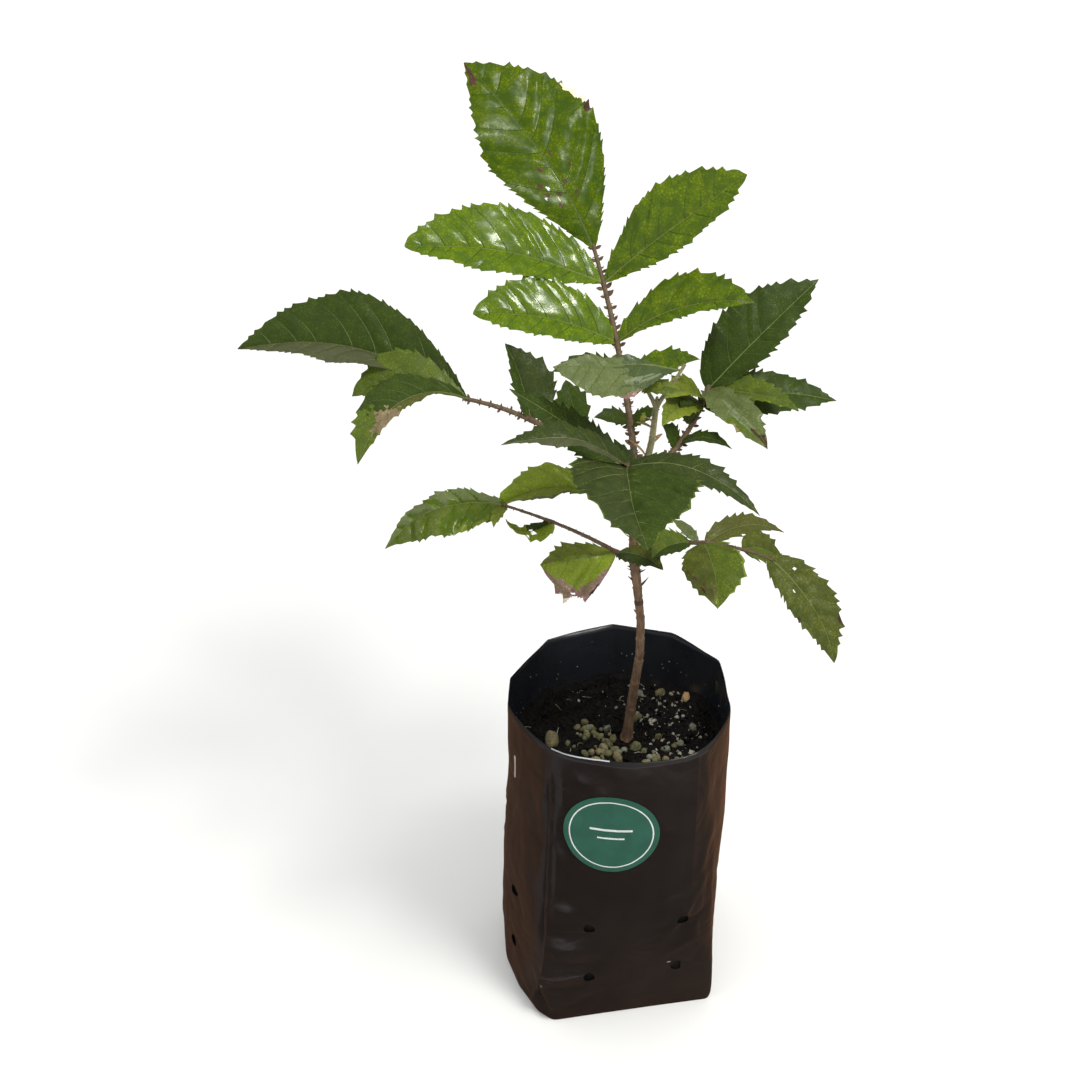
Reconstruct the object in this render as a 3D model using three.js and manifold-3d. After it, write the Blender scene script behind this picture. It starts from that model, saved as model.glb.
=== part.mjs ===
// Young rainforest plum tree in a soft plastic planter bag, in millimetres, +Z up.
// The origin is the middle of the bag's underside. The front is -Y.
// The bag is an open shell, the potting mix fills it to two fingers' width below the mouth,
// and the single stem carries compound leaves, each one solid: a stalk with toothed leaflets.
import * as THREE from "three";
import { mergeVertices } from "three/addons/utils/BufferGeometryUtils.js";
import Module from "manifold-3d";

const wasm = await Module();
wasm.setup();

// Driving dimensions
const gap = 0.3; // clearance between neighbouring pieces
const bag = {
  height: 184,
  wall: 1.0,
  belly: 2.0, // how far the filled sides swell
  tuck: 1.0, // how far the bottom fold is drawn in
  tuckHeight: 6,
  blend: 0.8, // share of the height over which the square foot turns round
  holeRadius: 3.2,
  holeHeights: [32, 69],
  holeAngles: [36, 74, 126, 152, 204, 254, 306, 344],
  levels: [0, 3, 8, 35, 65, 100, 140, 184],
  steps: 54, // points round one level
  holeSides: 10,
};
// Corners of the foot and of the mouth: angle round +Z in degrees, radius
const footCorners = [
  [55, 64], [143, 64], [168, 63], [188, 61.5],
  [208, 61.5], [228, 65], [237.5, 65.5], [324, 65.5],
];
const mouthCorners = [
  [29, 61.1], [61, 60.7], [92, 61.4], [128, 60.4], [166, 58.9],
  [192, 60.2], [231, 59.4], [268, 57.2], [309, 64.3], [346, 59.7],
];
const mix = {
  top: 151.4,
  roughness: 1.8,
  levelRadius: 11, // flat round the stem out to here
  rings: [12, 27, 43],
  largeStone: 3,
  stoneLift: 0.1,
};
// Stones and slow-release pellets lying on the mix: x, y, radius
const stones = [
  [-35.5, 0.5, 4.6], [21, 24.5, 3.6], [34.5, 24, 3.2], [-1, -13, 3.4], [8.6, -5.4, 3.0],
  [-8, -5, 2.8], [-13, -14, 2.7], [-18, -8, 2.3], [3, -21, 2.5], [-6, -20, 2.4],
  [22, -20, 2.3], [-2, -4.5, 2.2], [14, -16, 2.2],
];
const sticker = {
  thickness: 0.4,
  lift: 0.4,
  angle: 264.5,
  height: 137,
  rings: [25, 19, 13, 7, 1],
  steps: 30,
};
// The stem's middle line: height, x, y, radius
const stemLine = [
  [151.7, 4.1, 4.2, 4.6], [154, 4.4, 4.1, 3.7], [162, 5.2, 4.0, 3.1], [178, 6.6, 4.0, 2.8],
  [208, 9.8, 3.0, 2.5], [231, 9.7, 2.0, 2.4], [254, 7.2, 1.0, 2.6], [270, 5.2, 0, 3.0],
  [289, 4.8, -1, 2.6], [307, 6.2, -2, 2.3], [325, 9.1, -3, 2.0], [343, 12.0, -4, 1.7],
  [366, 13.6, -6, 1.4],
];
const stem = { sides: 10, steps: 32, closerBelow: 1.3, tipShare: 0.6 };
const stalk = { sides: 6, steps: 12, rootSink: 3 };
const blade = {
  toothPitch: 13,
  toothDepth: 1.8,
  toothCrest: 0.72, // where along its pitch a tooth is tallest
  fewestTeeth: 4,
  fullTeethFrom: 6, // half width at which the teeth have their full depth
  droop: 0.12, // how far the margins sag, as a share of the half width
  thinnest: 1.1,
  thicknessShare: 1 / 85, // thickness in the middle as a share of the length
  thinning: 0.3,
  rows: [-1, -0.5, 0, 0.5, 1],
};
// Each frond: the height of its foot on the stem, the line and radius of its stalk from foot to end,
// and its leaflets. Angles are in degrees: heading turns round +Z from +X, rise is above level.
// A leaflet is its place along the stalk, [heading, rise], reach, half widths [left, right],
// bend [bow, sweep], the [heading, rise] that its upper side faces, the fold between its halves and,
// if unusual, the place of the greatest width and the neck.
const fronds = {
  frond_back: {
    foot: 309, length: 128, heading: [100, 110], rise: [58, 40], radius: [2.2, 1.1],
    leaflets: [
      [1, [146, 46], 112, [25, 34], [15, 20], [-75, 42], 6, 0.54, 0.9],
      [0.84, [-173, 15], 101, [14.5, 24], [20, 20], [-80, 60], 20, 0.52, 0.7],
      [0.84, [2, 40], 89, [22, 13], [15, 0], [-85, 58], 18, 0.55, 0.75],
      [0.6, [-169, 18], 75, [12, 20], [25, 20], [-80, 58], 20, 0.52, 0.6],
      [0.6, [-13, 24], 73, [17, 8], [15, -50], [-85, 66], 22, 0.52, 0.65],
      [0.44, [-167, 17], 38, [7, 8], [40, 35], [-80, 60], 15],
      [0.44, [-16, 27], 42, [6, 7.5], [10, -50], [-85, 58], 12],
      [0.29, [-156, 20], 21, [4, 4.5], [30, 20], [-80, 60], 12],
      [0.28, [-22, 38], 19, [3.5, 4.5], [30, -20], [-85, 58], 12],
    ],
  },
  frond_left: {
    foot: 303, length: 104, heading: [164, 177], rise: [54, 10], radius: [2.2, 1.1],
    leaflets: [
      [1, [168, 7], 117, [18, 28], [5, 55], [-82, 68], 32, 0.56, 0.95],
      [1, [-137, -6], 70, [6, 15], [85, 40], [-120, 70], 20, 0.55],
      [1, [172, -3], 58, [11, 15], [75, 30], [-100, 66], 22, 0.6, 0.9],
      [0.67, [121, 52], 39, [6, 15.5], [10, 20], [-60, 40], 25, 0.38],
      [0.39, [115, 59], 35, [8.5, 7], [10, 10], [-80, 40], 10, 0.6],
    ],
  },
  frond_front: {
    foot: 309, length: 60, heading: [-100, -103], rise: [52, 42], radius: [2.2, 1.2],
    leaflets: [
      [1, [-86, 7], 85, [32, 27], [35, 20], [-75, 62], 14, 0.38],
      [0.93, [-162, 21], 66, [8, 9], [60, 5], [-95, 80], 20, 0.45],
      [0.93, [-22, -10], 66, [7, 9], [75, -10], [-85, 78], 15],
      [0.6, [179, 39], 75, [9.5, 8], [15, 5], [-100, 60], 12],
      [0.35, [172, 66], 27, [5, 5], [20, 0], [-90, 40], 12],
    ],
  },
  frond_right: {
    foot: 320, length: 62, heading: [35, 69], rise: [18, 36], radius: [2.0, 1.1],
    leaflets: [
      [1, [30, 35], 78, [21, 10], [30, 0], [-90, 46], 16, 0.45],
      [0.82, [6, -2], 68, [11.5, 11.5], [20, -25], [-85, 55], 12],
      [0.95, [-28, 2], 49, [8.5, 5], [20, -25], [-80, 66], 20, 0.4],
      [0.97, [-59, -8], 52, [6.5, 16], [55, -10], [-70, 62], 22, 0.5],
      [0.85, [-135, 24], 34, [5, 9], [55, 30], [-100, 60], 25, 0.45],
      [0.82, [-125, 9], 38, [6.5, 7.5], [30, 35], [-95, 55], 18],
      [0.65, [-143, 58], 18, [5, 5], [20, 20], [-90, 50], 10],
      [0.42, [-32, 13], 30, [4, 3.5], [60, -30], [-85, 75], 15],
      [0.4, [-141, 57], 19, [4, 4.5], [15, 30], [-90, 55], 10],
    ],
  },
  frond_young_left: {
    foot: 362, length: 25, heading: [-148, -148], rise: [66, 56], radius: [1.3, 0.8],
    leaflets: [
      [0.72, [-4, -8], 18, [3.5, 4.5], [10, 0], [-90, 60], 10],
      [0.62, [-64, 26], 20, [3.5, 3.5], [10, 20], [-90, 50], 10],
    ],
  },
  frond_young_right: {
    foot: 362, length: 26, heading: [-20, 40], rise: [65, 50], radius: [1.3, 0.8],
    leaflets: [
      [1, [-159, 13], 67, [19, 5], [30, -5], [-100, 60], 8, 0.62, 0.9],
    ],
  },
  frond_low_left: {
    foot: 268, length: 92, heading: [-150, -158], rise: [45, 30], radius: [2.4, 1.0],
    leaflets: [
      [1, [-159, -9], 62, [16.5, 7], [55, 50], [-95, 62], 10, 0.45],
      [0.97, [-107, 2], 20, [2.5, 2.5], [10, 40], [-90, 50], 10],
      [0.66, [-146, 24], 29, [7, 3], [-80, -40], [-90, 60], 30, 0.3],
      [0.16, [-168, -3], 39, [22, 9.5], [12, 0], [-90, 45], -24, 0.56, 0.6],
      [0.15, [-55, 16], 38, [6.5, 6.5], [25, -25], [-85, 65], 12],
    ],
  },
  frond_mid_left: {
    foot: 296, length: 29, heading: [-169, -169], rise: [52, 40], radius: [1.8, 1.0],
    leaflets: [
      [1, [-167, -2], 53, [8, 12], [30, 30], [-95, 68], 28, 0.5],
    ],
  },
  frond_low_right: {
    foot: 276, length: 75, heading: [-15, -32], rise: [28, -6], radius: [2.2, 1.0],
    leaflets: [
      [1, [-46, -41], 60, [12.5, 11], [30, -35], [-70, 50], 10, 0.45],
      [0.78, [27, -32], 29, [9, 7], [20, -50], [-85, 60], 10],
      [0.5, [-83, -15], 42, [15, 15], [40, -20], [-90, 48], 12, 0.45],
      [0.52, [26, -9], 46, [6.5, 5.5], [45, -40], [-85, 70], 15],
      [0.46, [140, 22], 18, [3, 2.5], [10, 40], [-85, 60], 10],
      [0.41, [-131, 11], 31, [5, 8], [20, 35], [-90, 58], 12],
    ],
  },
};
const usualWidest = 0.42;
const usualNeck = 0.55;

const materials = {
  bagFilm: new THREE.MeshStandardMaterial({ color: 0x261f1c, roughness: 0.3 }),
  pottingMix: new THREE.MeshStandardMaterial({ color: 0x1c1814, roughness: 0.95 }),
  greenLabel: new THREE.MeshStandardMaterial({ color: 0x2f6f5e, roughness: 0.45 }),
  bark: new THREE.MeshStandardMaterial({ color: 0x6b4f3c, roughness: 0.85 }),
  brightLeaf: new THREE.MeshStandardMaterial({ color: 0x55800f, roughness: 0.4 }),
  darkLeaf: new THREE.MeshStandardMaterial({ color: 0x3c5523, roughness: 0.55 }),
  paleLeaf: new THREE.MeshStandardMaterial({ color: 0x7b9040, roughness: 0.6 }),
};
const leafMaterials = {
  frond_back: materials.brightLeaf,
  frond_young_left: materials.paleLeaf,
  frond_young_right: materials.paleLeaf,
  frond_mid_left: materials.paleLeaf,
};

const radians = THREE.MathUtils.degToRad;

// A fixed sequence of numbers from 0 to 1, the same on every run
function seededNumbers(seed) {
  let state = seed;
  return () => {
    state = (state * 16807) % 2147483647;
    return state / 2147483647;
  };
}

function direction(heading, rise) {
  const level = Math.cos(radians(rise));
  const turn = radians(heading);
  return new THREE.Vector3(level * Math.cos(turn), level * Math.sin(turn), Math.sin(radians(rise)));
}

function geometryFrom(points, triangles) {
  const geometry = new THREE.BufferGeometry();
  const numbers = points.flatMap((point) => point.toArray());
  geometry.setAttribute("position", new THREE.Float32BufferAttribute(numbers, 3));
  geometry.setIndex(triangles);
  return geometry;
}

function solidFrom(geometry) {
  const bare = geometry.clone();
  bare.deleteAttribute("normal");
  bare.deleteAttribute("uv");
  const merged = mergeVertices(bare, 1e-5);
  return new wasm.Manifold(new wasm.Mesh({
    numProp: 3,
    vertProperties: new Float32Array(merged.attributes.position.array),
    triVerts: new Uint32Array(merged.index.array),
  }));
}

function geometryOf(solid) {
  const mesh = solid.getMesh();
  const geometry = new THREE.BufferGeometry();
  geometry.setAttribute("position", new THREE.Float32BufferAttribute(mesh.vertProperties, 3));
  geometry.setIndex(Array.from(mesh.triVerts));
  geometry.computeVertexNormals();
  return geometry;
}

function largestPiece(solid) {
  return solid.decompose().sort((a, b) => b.volume() - a.volume())[0];
}

// Joins rings of equal count into a skin with both ends closed
function loft(rings) {
  const count = rings[0].length;
  const points = rings.flat();
  const triangles = [];
  for (let ring = 0; ring < rings.length - 1; ring += 1) {
    for (let i = 0; i < count; i += 1) {
      const a = ring * count + i;
      const b = ring * count + ((i + 1) % count);
      triangles.push(a, b, b + count, a, b + count, a + count);
    }
  }
  [0, rings.length - 1].forEach((ring) => {
    const middle = points.length;
    const centre = new THREE.Vector3();
    rings[ring].forEach((p) => centre.addScaledVector(p, 1 / count));
    points.push(centre);
    for (let i = 0; i < count; i += 1) {
      const a = ring * count + i;
      const b = ring * count + ((i + 1) % count);
      triangles.push(...(ring === 0 ? [middle, b, a] : [middle, a, b]));
    }
  });
  return geometryFrom(points, triangles);
}

// A limb along a line of points, its cross-section turning with the line
function limb(points, radii, sides) {
  const rings = [];
  let across = new THREE.Vector3(1, 0, 0);
  points.forEach((point, i) => {
    const next = points[Math.min(i + 1, points.length - 1)];
    const ahead = next.clone().sub(points[Math.max(i - 1, 0)]).normalize();
    across = across.clone().addScaledVector(ahead, -across.dot(ahead)).normalize();
    const up = new THREE.Vector3().crossVectors(ahead, across);
    rings.push(Array.from({ length: sides }, (_, k) => {
      const turn = (2 * Math.PI * k) / sides;
      return point.clone()
        .addScaledVector(across, radii[i] * Math.cos(turn))
        .addScaledVector(up, radii[i] * Math.sin(turn));
    }));
  });
  return loft(rings);
}

// Radius of a polygon of corners [angle, radius] in the direction of an angle
function polygonRadius(corners, angle) {
  const last = corners.length - 1;
  const wrapped = angle < corners[0][0] ? angle + 360 : angle;
  const after = corners.findIndex(([cornerAngle]) => wrapped < cornerAngle);
  const [angleA, radiusA] = corners[after === -1 ? last : after - 1];
  const [angleB, radiusB] = after === -1 ? [corners[0][0] + 360, corners[0][1]] : corners[after];
  const spanned = Math.sin(radians(angleB - angleA)) * radiusA * radiusB;
  const fromA = Math.sin(radians(wrapped - angleA)) * radiusA;
  const toB = Math.sin(radians(angleB - wrapped)) * radiusB;
  return spanned / (fromA + toB);
}

// Outer radius of the bag at one of its levels: the square foot turns into the mouth,
// and the filled sides swell
function levelRadius(angle, height) {
  const share = height / bag.height;
  const turned = THREE.MathUtils.smoothstep(share, 0.02, 0.02 + bag.blend);
  const foot = polygonRadius(footCorners, angle);
  const plan = THREE.MathUtils.lerp(foot, polygonRadius(mouthCorners, angle), turned);
  const swell = bag.belly * Math.sin(Math.PI * Math.min(1, share / bag.blend));
  const drawnIn = bag.tuck * Math.max(0, 1 - height / bag.tuckHeight) ** 2;
  return plan + swell - drawnIn;
}

// The film is straight from level to level
function bagRadius(angle, height) {
  const next = Math.max(1, bag.levels.findIndex((level) => level >= height));
  const [below, above] = [bag.levels[next - 1], bag.levels[next]];
  const share = (height - below) / (above - below);
  return THREE.MathUtils.lerp(levelRadius(angle, below), levelRadius(angle, above), share);
}

function bagPoint(angle, height, outward) {
  const radius = bagRadius(angle, height) + outward;
  return new THREE.Vector3(radius * Math.cos(radians(angle)), radius * Math.sin(radians(angle)), height);
}

function bagRing(height, outward, lift = 0) {
  return Array.from({ length: bag.steps }, (_, i) => {
    const point = bagPoint((360 * i) / bag.steps, height, outward);
    point.z += lift;
    return point;
  });
}

function makeBag() {
  const outside = solidFrom(loft(bag.levels.map((height) => bagRing(height, 0))));
  const insideLevels = [bag.wall, ...bag.levels.slice(1)];
  const insideRings = insideLevels.map((height) => bagRing(height, -bag.wall));
  insideRings.push(bagRing(bag.height, -bag.wall, 5));
  const shell = outside.subtract(solidFrom(loft(insideRings)));
  const drill = new THREE.CylinderGeometry(bag.holeRadius, bag.holeRadius, 16, bag.holeSides);
  const drills = bag.holeHeights.flatMap((height) => bag.holeAngles.map((angle) => {
    const hole = drill.clone().rotateZ(Math.PI / 2).rotateZ(radians(angle));
    const spot = bagPoint(angle, height, 0);
    return solidFrom(hole.translate(spot.x, spot.y, spot.z));
  }));
  return geometryOf(shell.subtract(wasm.Manifold.union(drills)));
}

// The mix lies level round the stem's foot and roughens away from it
function mixHeight(x, y, random) {
  const [, stemX, stemY] = stemLine[0];
  const distance = Math.hypot(x - stemX, y - stemY);
  const away = THREE.MathUtils.smoothstep(distance, mix.levelRadius, 2 * mix.levelRadius);
  return mix.top + away * mix.roughness * (random() - 0.6);
}

function makeMix() {
  const random = seededNumbers(11);
  const clear = -bag.wall - gap;
  const lowest = bag.wall + gap;
  const sideLevels = [lowest, ...bag.levels.filter((height) => height > lowest && height < mix.top)];
  const rings = sideLevels.map((height) => bagRing(height, clear));
  const rim = bagRing(mix.top, clear);
  rim.forEach((point) => {
    point.z = mixHeight(point.x, point.y, random);
  });
  rings.push(rim);
  [...mix.rings].reverse().forEach((radius) => {
    rings.push(Array.from({ length: bag.steps }, (_, i) => {
      const turn = (2 * Math.PI * i) / bag.steps;
      const x = radius * Math.cos(turn);
      const y = radius * Math.sin(turn);
      return new THREE.Vector3(x, y, mixHeight(x, y, random));
    }));
  });
  const pebbles = stones.map(([x, y, radius], i) => {
    const detail = radius > mix.largeStone ? 1 : 0;
    const stone = new THREE.IcosahedronGeometry(radius, detail).scale(1.15, 1, 0.85).rotateZ(i);
    return solidFrom(stone.translate(x, y, mix.top + mix.stoneLift * radius));
  });
  return geometryOf(largestPiece(wasm.Manifold.union([solidFrom(loft(rings)), ...pebbles])));
}

// A thin round sticker that follows the bag's wall
function makeSticker() {
  const spread = 180 / (Math.PI * bagRadius(sticker.angle, sticker.height));
  const ring = (radius, outward) => Array.from({ length: sticker.steps }, (_, i) => {
    const turn = (2 * Math.PI * i) / sticker.steps;
    const angle = sticker.angle + radius * Math.cos(turn) * spread;
    return bagPoint(angle, sticker.height + radius * Math.sin(turn), outward);
  });
  const back = sticker.rings.map((radius) => ring(radius, sticker.lift)).reverse();
  const front = sticker.rings.map((radius) => ring(radius, sticker.lift + sticker.thickness));
  return loft([...back, ...front]);
}

function stemPoint(height) {
  const next = stemLine.findIndex(([z]) => z >= height);
  const [za, xa, ya, ra] = stemLine[Math.max(next - 1, 0)];
  const [zb, xb, yb, rb] = stemLine[next];
  const share = zb === za ? 0 : (height - za) / (zb - za);
  const mixed = (a, b) => THREE.MathUtils.lerp(a, b, share);
  return { point: new THREE.Vector3(mixed(xa, xb), mixed(ya, yb), height), radius: mixed(ra, rb) };
}

// The stem from its flat cut on the mix to the growing tip
function makeStem(extra) {
  const foot = stemLine[0][0];
  const tip = stemLine[stemLine.length - 1][0];
  const stations = Array.from({ length: stem.steps + 1 }, (_, i) => {
    const share = (i / stem.steps) ** stem.closerBelow;
    return stemPoint(foot + (tip - foot) * share);
  });
  const points = stations.map((station) => station.point);
  const radii = stations.map((station) => station.radius + extra);
  radii[radii.length - 1] *= stem.tipShare;
  const geometry = limb(points, radii, stem.sides);
  if (extra === 0) {
    // The first ring is laid level, so that the stem has a flat cut
    const position = geometry.attributes.position;
    for (let i = 0; i < stem.sides; i += 1) {
      position.setZ(i, foot);
    }
    position.setZ(position.count - 2, foot);
  }
  return geometry;
}

function stalkPoints(frond) {
  const points = [stemPoint(frond.foot).point];
  for (let i = 0; i < stalk.steps; i += 1) {
    const share = (i + 0.5) / stalk.steps;
    const heading = THREE.MathUtils.lerp(...frond.heading, share);
    const rise = THREE.MathUtils.lerp(...frond.rise, share);
    points.push(points[i].clone().addScaledVector(direction(heading, rise), frond.length / stalk.steps));
  }
  return points;
}

function pointAlong(points, share) {
  const place = share * (points.length - 1);
  const before = Math.min(Math.floor(place), points.length - 2);
  return points[before].clone().lerp(points[before + 1], place - before);
}

// Half width of a leaflet along its length, as a share of the greatest
function outline(t, widest, neck) {
  const bulge = Math.max(0, Math.sin(Math.PI * t ** (Math.log(0.5) / Math.log(widest))));
  return bulge ** (neck + (1.1 - neck) * t);
}

// One leaflet: a blade with a forward-toothed margin, thickest along its midrib
function makeLeaflet(root, leaflet) {
  const [, course, reach, halfWidths, [bow, sweep], face, foldAngle] = leaflet;
  const [widest = usualWidest, neck = usualNeck] = leaflet.slice(7);
  const ahead = direction(...course);
  const up = direction(...face);
  up.addScaledVector(ahead, -up.dot(ahead)).normalize();
  const across = new THREE.Vector3().crossVectors(ahead, up);
  const bend = up.clone().multiplyScalar(Math.tan(radians(bow) / 2))
    .addScaledVector(across, Math.tan(radians(sweep) / 2));
  const teeth = Math.max(blade.fewestTeeth, Math.round(reach / blade.toothPitch));
  const stations = [];
  for (let tooth = 0; tooth < teeth; tooth += 1) {
    if (tooth > 0) {
      stations.push([tooth / teeth, 0]);
    }
    stations.push([(tooth + blade.toothCrest) / teeth, blade.toothDepth]);
  }
  const thickness = Math.max(blade.thinnest, reach * blade.thicknessShare);
  const fold = radians(foldAngle);
  const middleAt = (t) => root.clone()
    .addScaledVector(ahead, reach * t)
    .addScaledVector(bend, reach * t * (1 - t));
  const points = [root.clone(), middleAt(1)];
  const rows = blade.rows.length;
  const top = [];
  const bottom = [];
  stations.forEach(([t, toothDepth]) => {
    const along = ahead.clone().addScaledVector(bend, 1 - 2 * t).normalize();
    const normal = up.clone().addScaledVector(along, -up.dot(along)).normalize();
    const side = new THREE.Vector3().crossVectors(along, normal);
    const middle = middleAt(t);
    const topRow = [];
    const bottomRow = [];
    blade.rows.forEach((row) => {
      const smooth = halfWidths[row < 0 ? 0 : 1] * outline(t, widest, neck);
      const half = smooth + toothDepth * Math.min(1, smooth / blade.fullTeethFrom);
      const from = Math.abs(row);
      const spot = middle.clone()
        .addScaledVector(side, Math.sign(row) * half * from * Math.cos(fold))
        .addScaledVector(normal, half * from * Math.sin(fold) - blade.droop * half * from * from);
      if (from === 1) {
        points.push(spot);
        topRow.push(points.length - 1);
        bottomRow.push(points.length - 1);
      } else {
        const offset = (thickness / 2) * (1 - blade.thinning * from);
        points.push(spot.clone().addScaledVector(normal, offset));
        points.push(spot.clone().addScaledVector(normal, -offset));
        topRow.push(points.length - 2);
        bottomRow.push(points.length - 1);
      }
    });
    top.push(topRow);
    bottom.push(bottomRow);
  });
  const triangles = [];
  for (let j = 0; j < rows - 1; j += 1) {
    triangles.push(0, top[0][j + 1], top[0][j], 0, bottom[0][j], bottom[0][j + 1]);
    const last = top.length - 1;
    triangles.push(1, top[last][j], top[last][j + 1], 1, bottom[last][j + 1], bottom[last][j]);
    for (let i = 0; i < last; i += 1) {
      triangles.push(top[i][j], top[i][j + 1], top[i + 1][j + 1]);
      triangles.push(top[i][j], top[i + 1][j + 1], top[i + 1][j]);
      triangles.push(bottom[i][j], bottom[i + 1][j + 1], bottom[i][j + 1]);
      triangles.push(bottom[i][j], bottom[i + 1][j], bottom[i + 1][j + 1]);
    }
  }
  return geometryFrom(points, triangles);
}

// A frond: stalk and leaflets in one solid, clear of the stem
function makeFrond(frond, stemSpace) {
  const points = stalkPoints(frond);
  const radii = points.map((_, i) => THREE.MathUtils.lerp(...frond.radius, i / stalk.steps));
  const parts = [solidFrom(limb(points, radii, stalk.sides))];
  const lastRoot = 1 - stalk.rootSink / frond.length;
  frond.leaflets.forEach((leaflet) => {
    const root = pointAlong(points, Math.min(leaflet[0], lastRoot));
    parts.push(solidFrom(makeLeaflet(root, leaflet)));
  });
  return largestPiece(wasm.Manifold.union(parts).subtract(stemSpace));
}

const plant = new THREE.Group();
plant.name = "potted_plum_tree";

function addPiece(name, geometry, material) {
  const mesh = new THREE.Mesh(geometry, material);
  mesh.name = name;
  plant.add(mesh);
}

addPiece("planter_bag", makeBag(), materials.bagFilm);
addPiece("potting_mix", makeMix(), materials.pottingMix);
addPiece("label", makeSticker(), materials.greenLabel);
addPiece("stem", makeStem(0), materials.bark);
const stemSpace = solidFrom(makeStem(gap));
Object.entries(fronds).forEach(([name, frond]) => {
  addPiece(name, geometryOf(makeFrond(frond, stemSpace)), leafMaterials[name] ?? materials.darkLeaf);
});

export default plant;
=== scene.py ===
import bpy
import math
import numpy as np
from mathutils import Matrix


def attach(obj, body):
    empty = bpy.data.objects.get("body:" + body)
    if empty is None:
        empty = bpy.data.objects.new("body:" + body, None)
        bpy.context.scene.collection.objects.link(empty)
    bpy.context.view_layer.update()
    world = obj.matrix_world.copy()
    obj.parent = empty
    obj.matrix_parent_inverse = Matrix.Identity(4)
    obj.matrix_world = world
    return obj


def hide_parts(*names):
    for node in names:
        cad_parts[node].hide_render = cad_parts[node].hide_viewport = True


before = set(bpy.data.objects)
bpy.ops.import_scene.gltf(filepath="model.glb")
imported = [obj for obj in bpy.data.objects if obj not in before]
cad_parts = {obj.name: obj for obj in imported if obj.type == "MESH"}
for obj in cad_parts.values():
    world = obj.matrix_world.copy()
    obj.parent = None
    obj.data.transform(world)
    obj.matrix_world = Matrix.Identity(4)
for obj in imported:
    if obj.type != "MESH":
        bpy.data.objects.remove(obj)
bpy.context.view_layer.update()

# A young potted plum tree. Everything is worked out in millimetres and becomes metres in makeMesh.
millimetre = 0.001
fullTurn = 2 * math.pi


def tone(red, green, blue):  # a colour as seen on screen, as plain numbers
    return tuple(((c / 255 + 0.055) / 1.055) ** 2.4 for c in (red, green, blue)) + (1.0,)


# Shader groups that several materials share

def newTree(name, inputs, outputs):
    tree = bpy.data.node_groups.new(name, "ShaderNodeTree")
    for label, kind, value in inputs:
        socket = tree.interface.new_socket(label, in_out="INPUT", socket_type=kind)
        socket.default_value = value
    for label, kind in outputs:
        tree.interface.new_socket(label, in_out="OUTPUT", socket_type=kind)
    return tree


def addNode(tree, kind, links=(), **settings):
    node = tree.nodes.new(kind)
    for key, value in settings.items():
        setattr(node, key, value)
    for socket, value in dict(links).items():
        if isinstance(value, bpy.types.NodeSocket):
            tree.links.new(value, node.inputs[socket])
        else:
            node.inputs[socket].default_value = value
    return node


def mixColours(tree, factor, first, second):
    return addNode(tree, "ShaderNodeMix", {0: factor, 6: first, 7: second}, data_type="RGBA").outputs[2]


def spread(tree, value, low, high, toLow=0.0, toHigh=1.0):
    links = {"Value": value, "From Min": low, "From Max": high, "To Min": toLow, "To Max": toHigh}
    return addNode(tree, "ShaderNodeMapRange", links).outputs["Result"]


def sums(tree, operation, first, second):
    return addNode(tree, "ShaderNodeMath", {0: first, 1: second}, operation=operation).outputs[0]


def vectorSums(tree, operation, first, second):
    return addNode(tree, "ShaderNodeVectorMath", {0: first, 1: second}, operation=operation).outputs[0]


def objectPlace(tree):
    return addNode(tree, "ShaderNodeTexCoord").outputs["Object"]


def noise(tree, place, scale, detail, roughness=0.5, distortion=0.0):
    links = {"Vector": place, "Scale": scale, "Detail": detail, "Roughness": roughness,
             "Distortion": distortion}
    return addNode(tree, "ShaderNodeTexNoise", links)


cellLook = {
    "bendScale": 420.0, "bend": 0.0009, "domeWidth": 0.32, "netShare": 0.25,
    "cloudScale": 150.0, "cloudFrom": 0.4, "cloudTo": 0.6, "cloudHeight": 0.5, "glossRange": (0.75, 1.35),
}


def makeLeafCells():
    # The net of fine veins, the cells that swell between them, and a slow cloudiness
    tree = newTree("leafCells", (
        ("Color", "NodeSocketColor", (0.1, 0.2, 0.02, 1)),
        ("Net color", "NodeSocketColor", (0.05, 0.12, 0.01, 1)),
        ("Cell scale", "NodeSocketFloat", 620.0),
        ("Cloud", "NodeSocketFloat", 0.35),
    ), (("Color", "NodeSocketColor"), ("Height", "NodeSocketFloat"), ("Gloss", "NodeSocketFloat")))
    entry = addNode(tree, "NodeGroupInput").outputs
    leave = addNode(tree, "NodeGroupOutput").inputs
    place = objectPlace(tree)
    bent = noise(tree, place, cellLook["bendScale"], 2.0).outputs["Color"]
    moved = vectorSums(tree, "ADD", place, vectorSums(tree, "MULTIPLY", bent, [cellLook["bend"]] * 3))
    cells = addNode(tree, "ShaderNodeTexVoronoi", {"Vector": moved, "Scale": entry["Cell scale"]},
                    feature="DISTANCE_TO_EDGE")
    dome = spread(tree, cells.outputs["Distance"], 0.0, cellLook["domeWidth"])
    cloud = noise(tree, place, cellLook["cloudScale"], 5.0, 0.65).outputs["Fac"]
    cloudy = spread(tree, cloud, cellLook["cloudFrom"], cellLook["cloudTo"])
    share = spread(tree, dome, 0.0, 1.0, cellLook["netShare"], 1.0)
    netted = mixColours(tree, share, entry["Net color"], entry["Color"])
    clouded = mixColours(tree, sums(tree, "MULTIPLY", cloudy, entry["Cloud"]), netted, entry["Net color"])
    height = sums(tree, "ADD", dome, sums(tree, "MULTIPLY", cloudy, cellLook["cloudHeight"]))
    tree.links.new(clouded, leave["Color"])
    tree.links.new(height, leave["Height"])
    tree.links.new(spread(tree, cloudy, 0.0, 1.0, *cellLook["glossRange"]), leave["Gloss"])
    return tree


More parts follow.
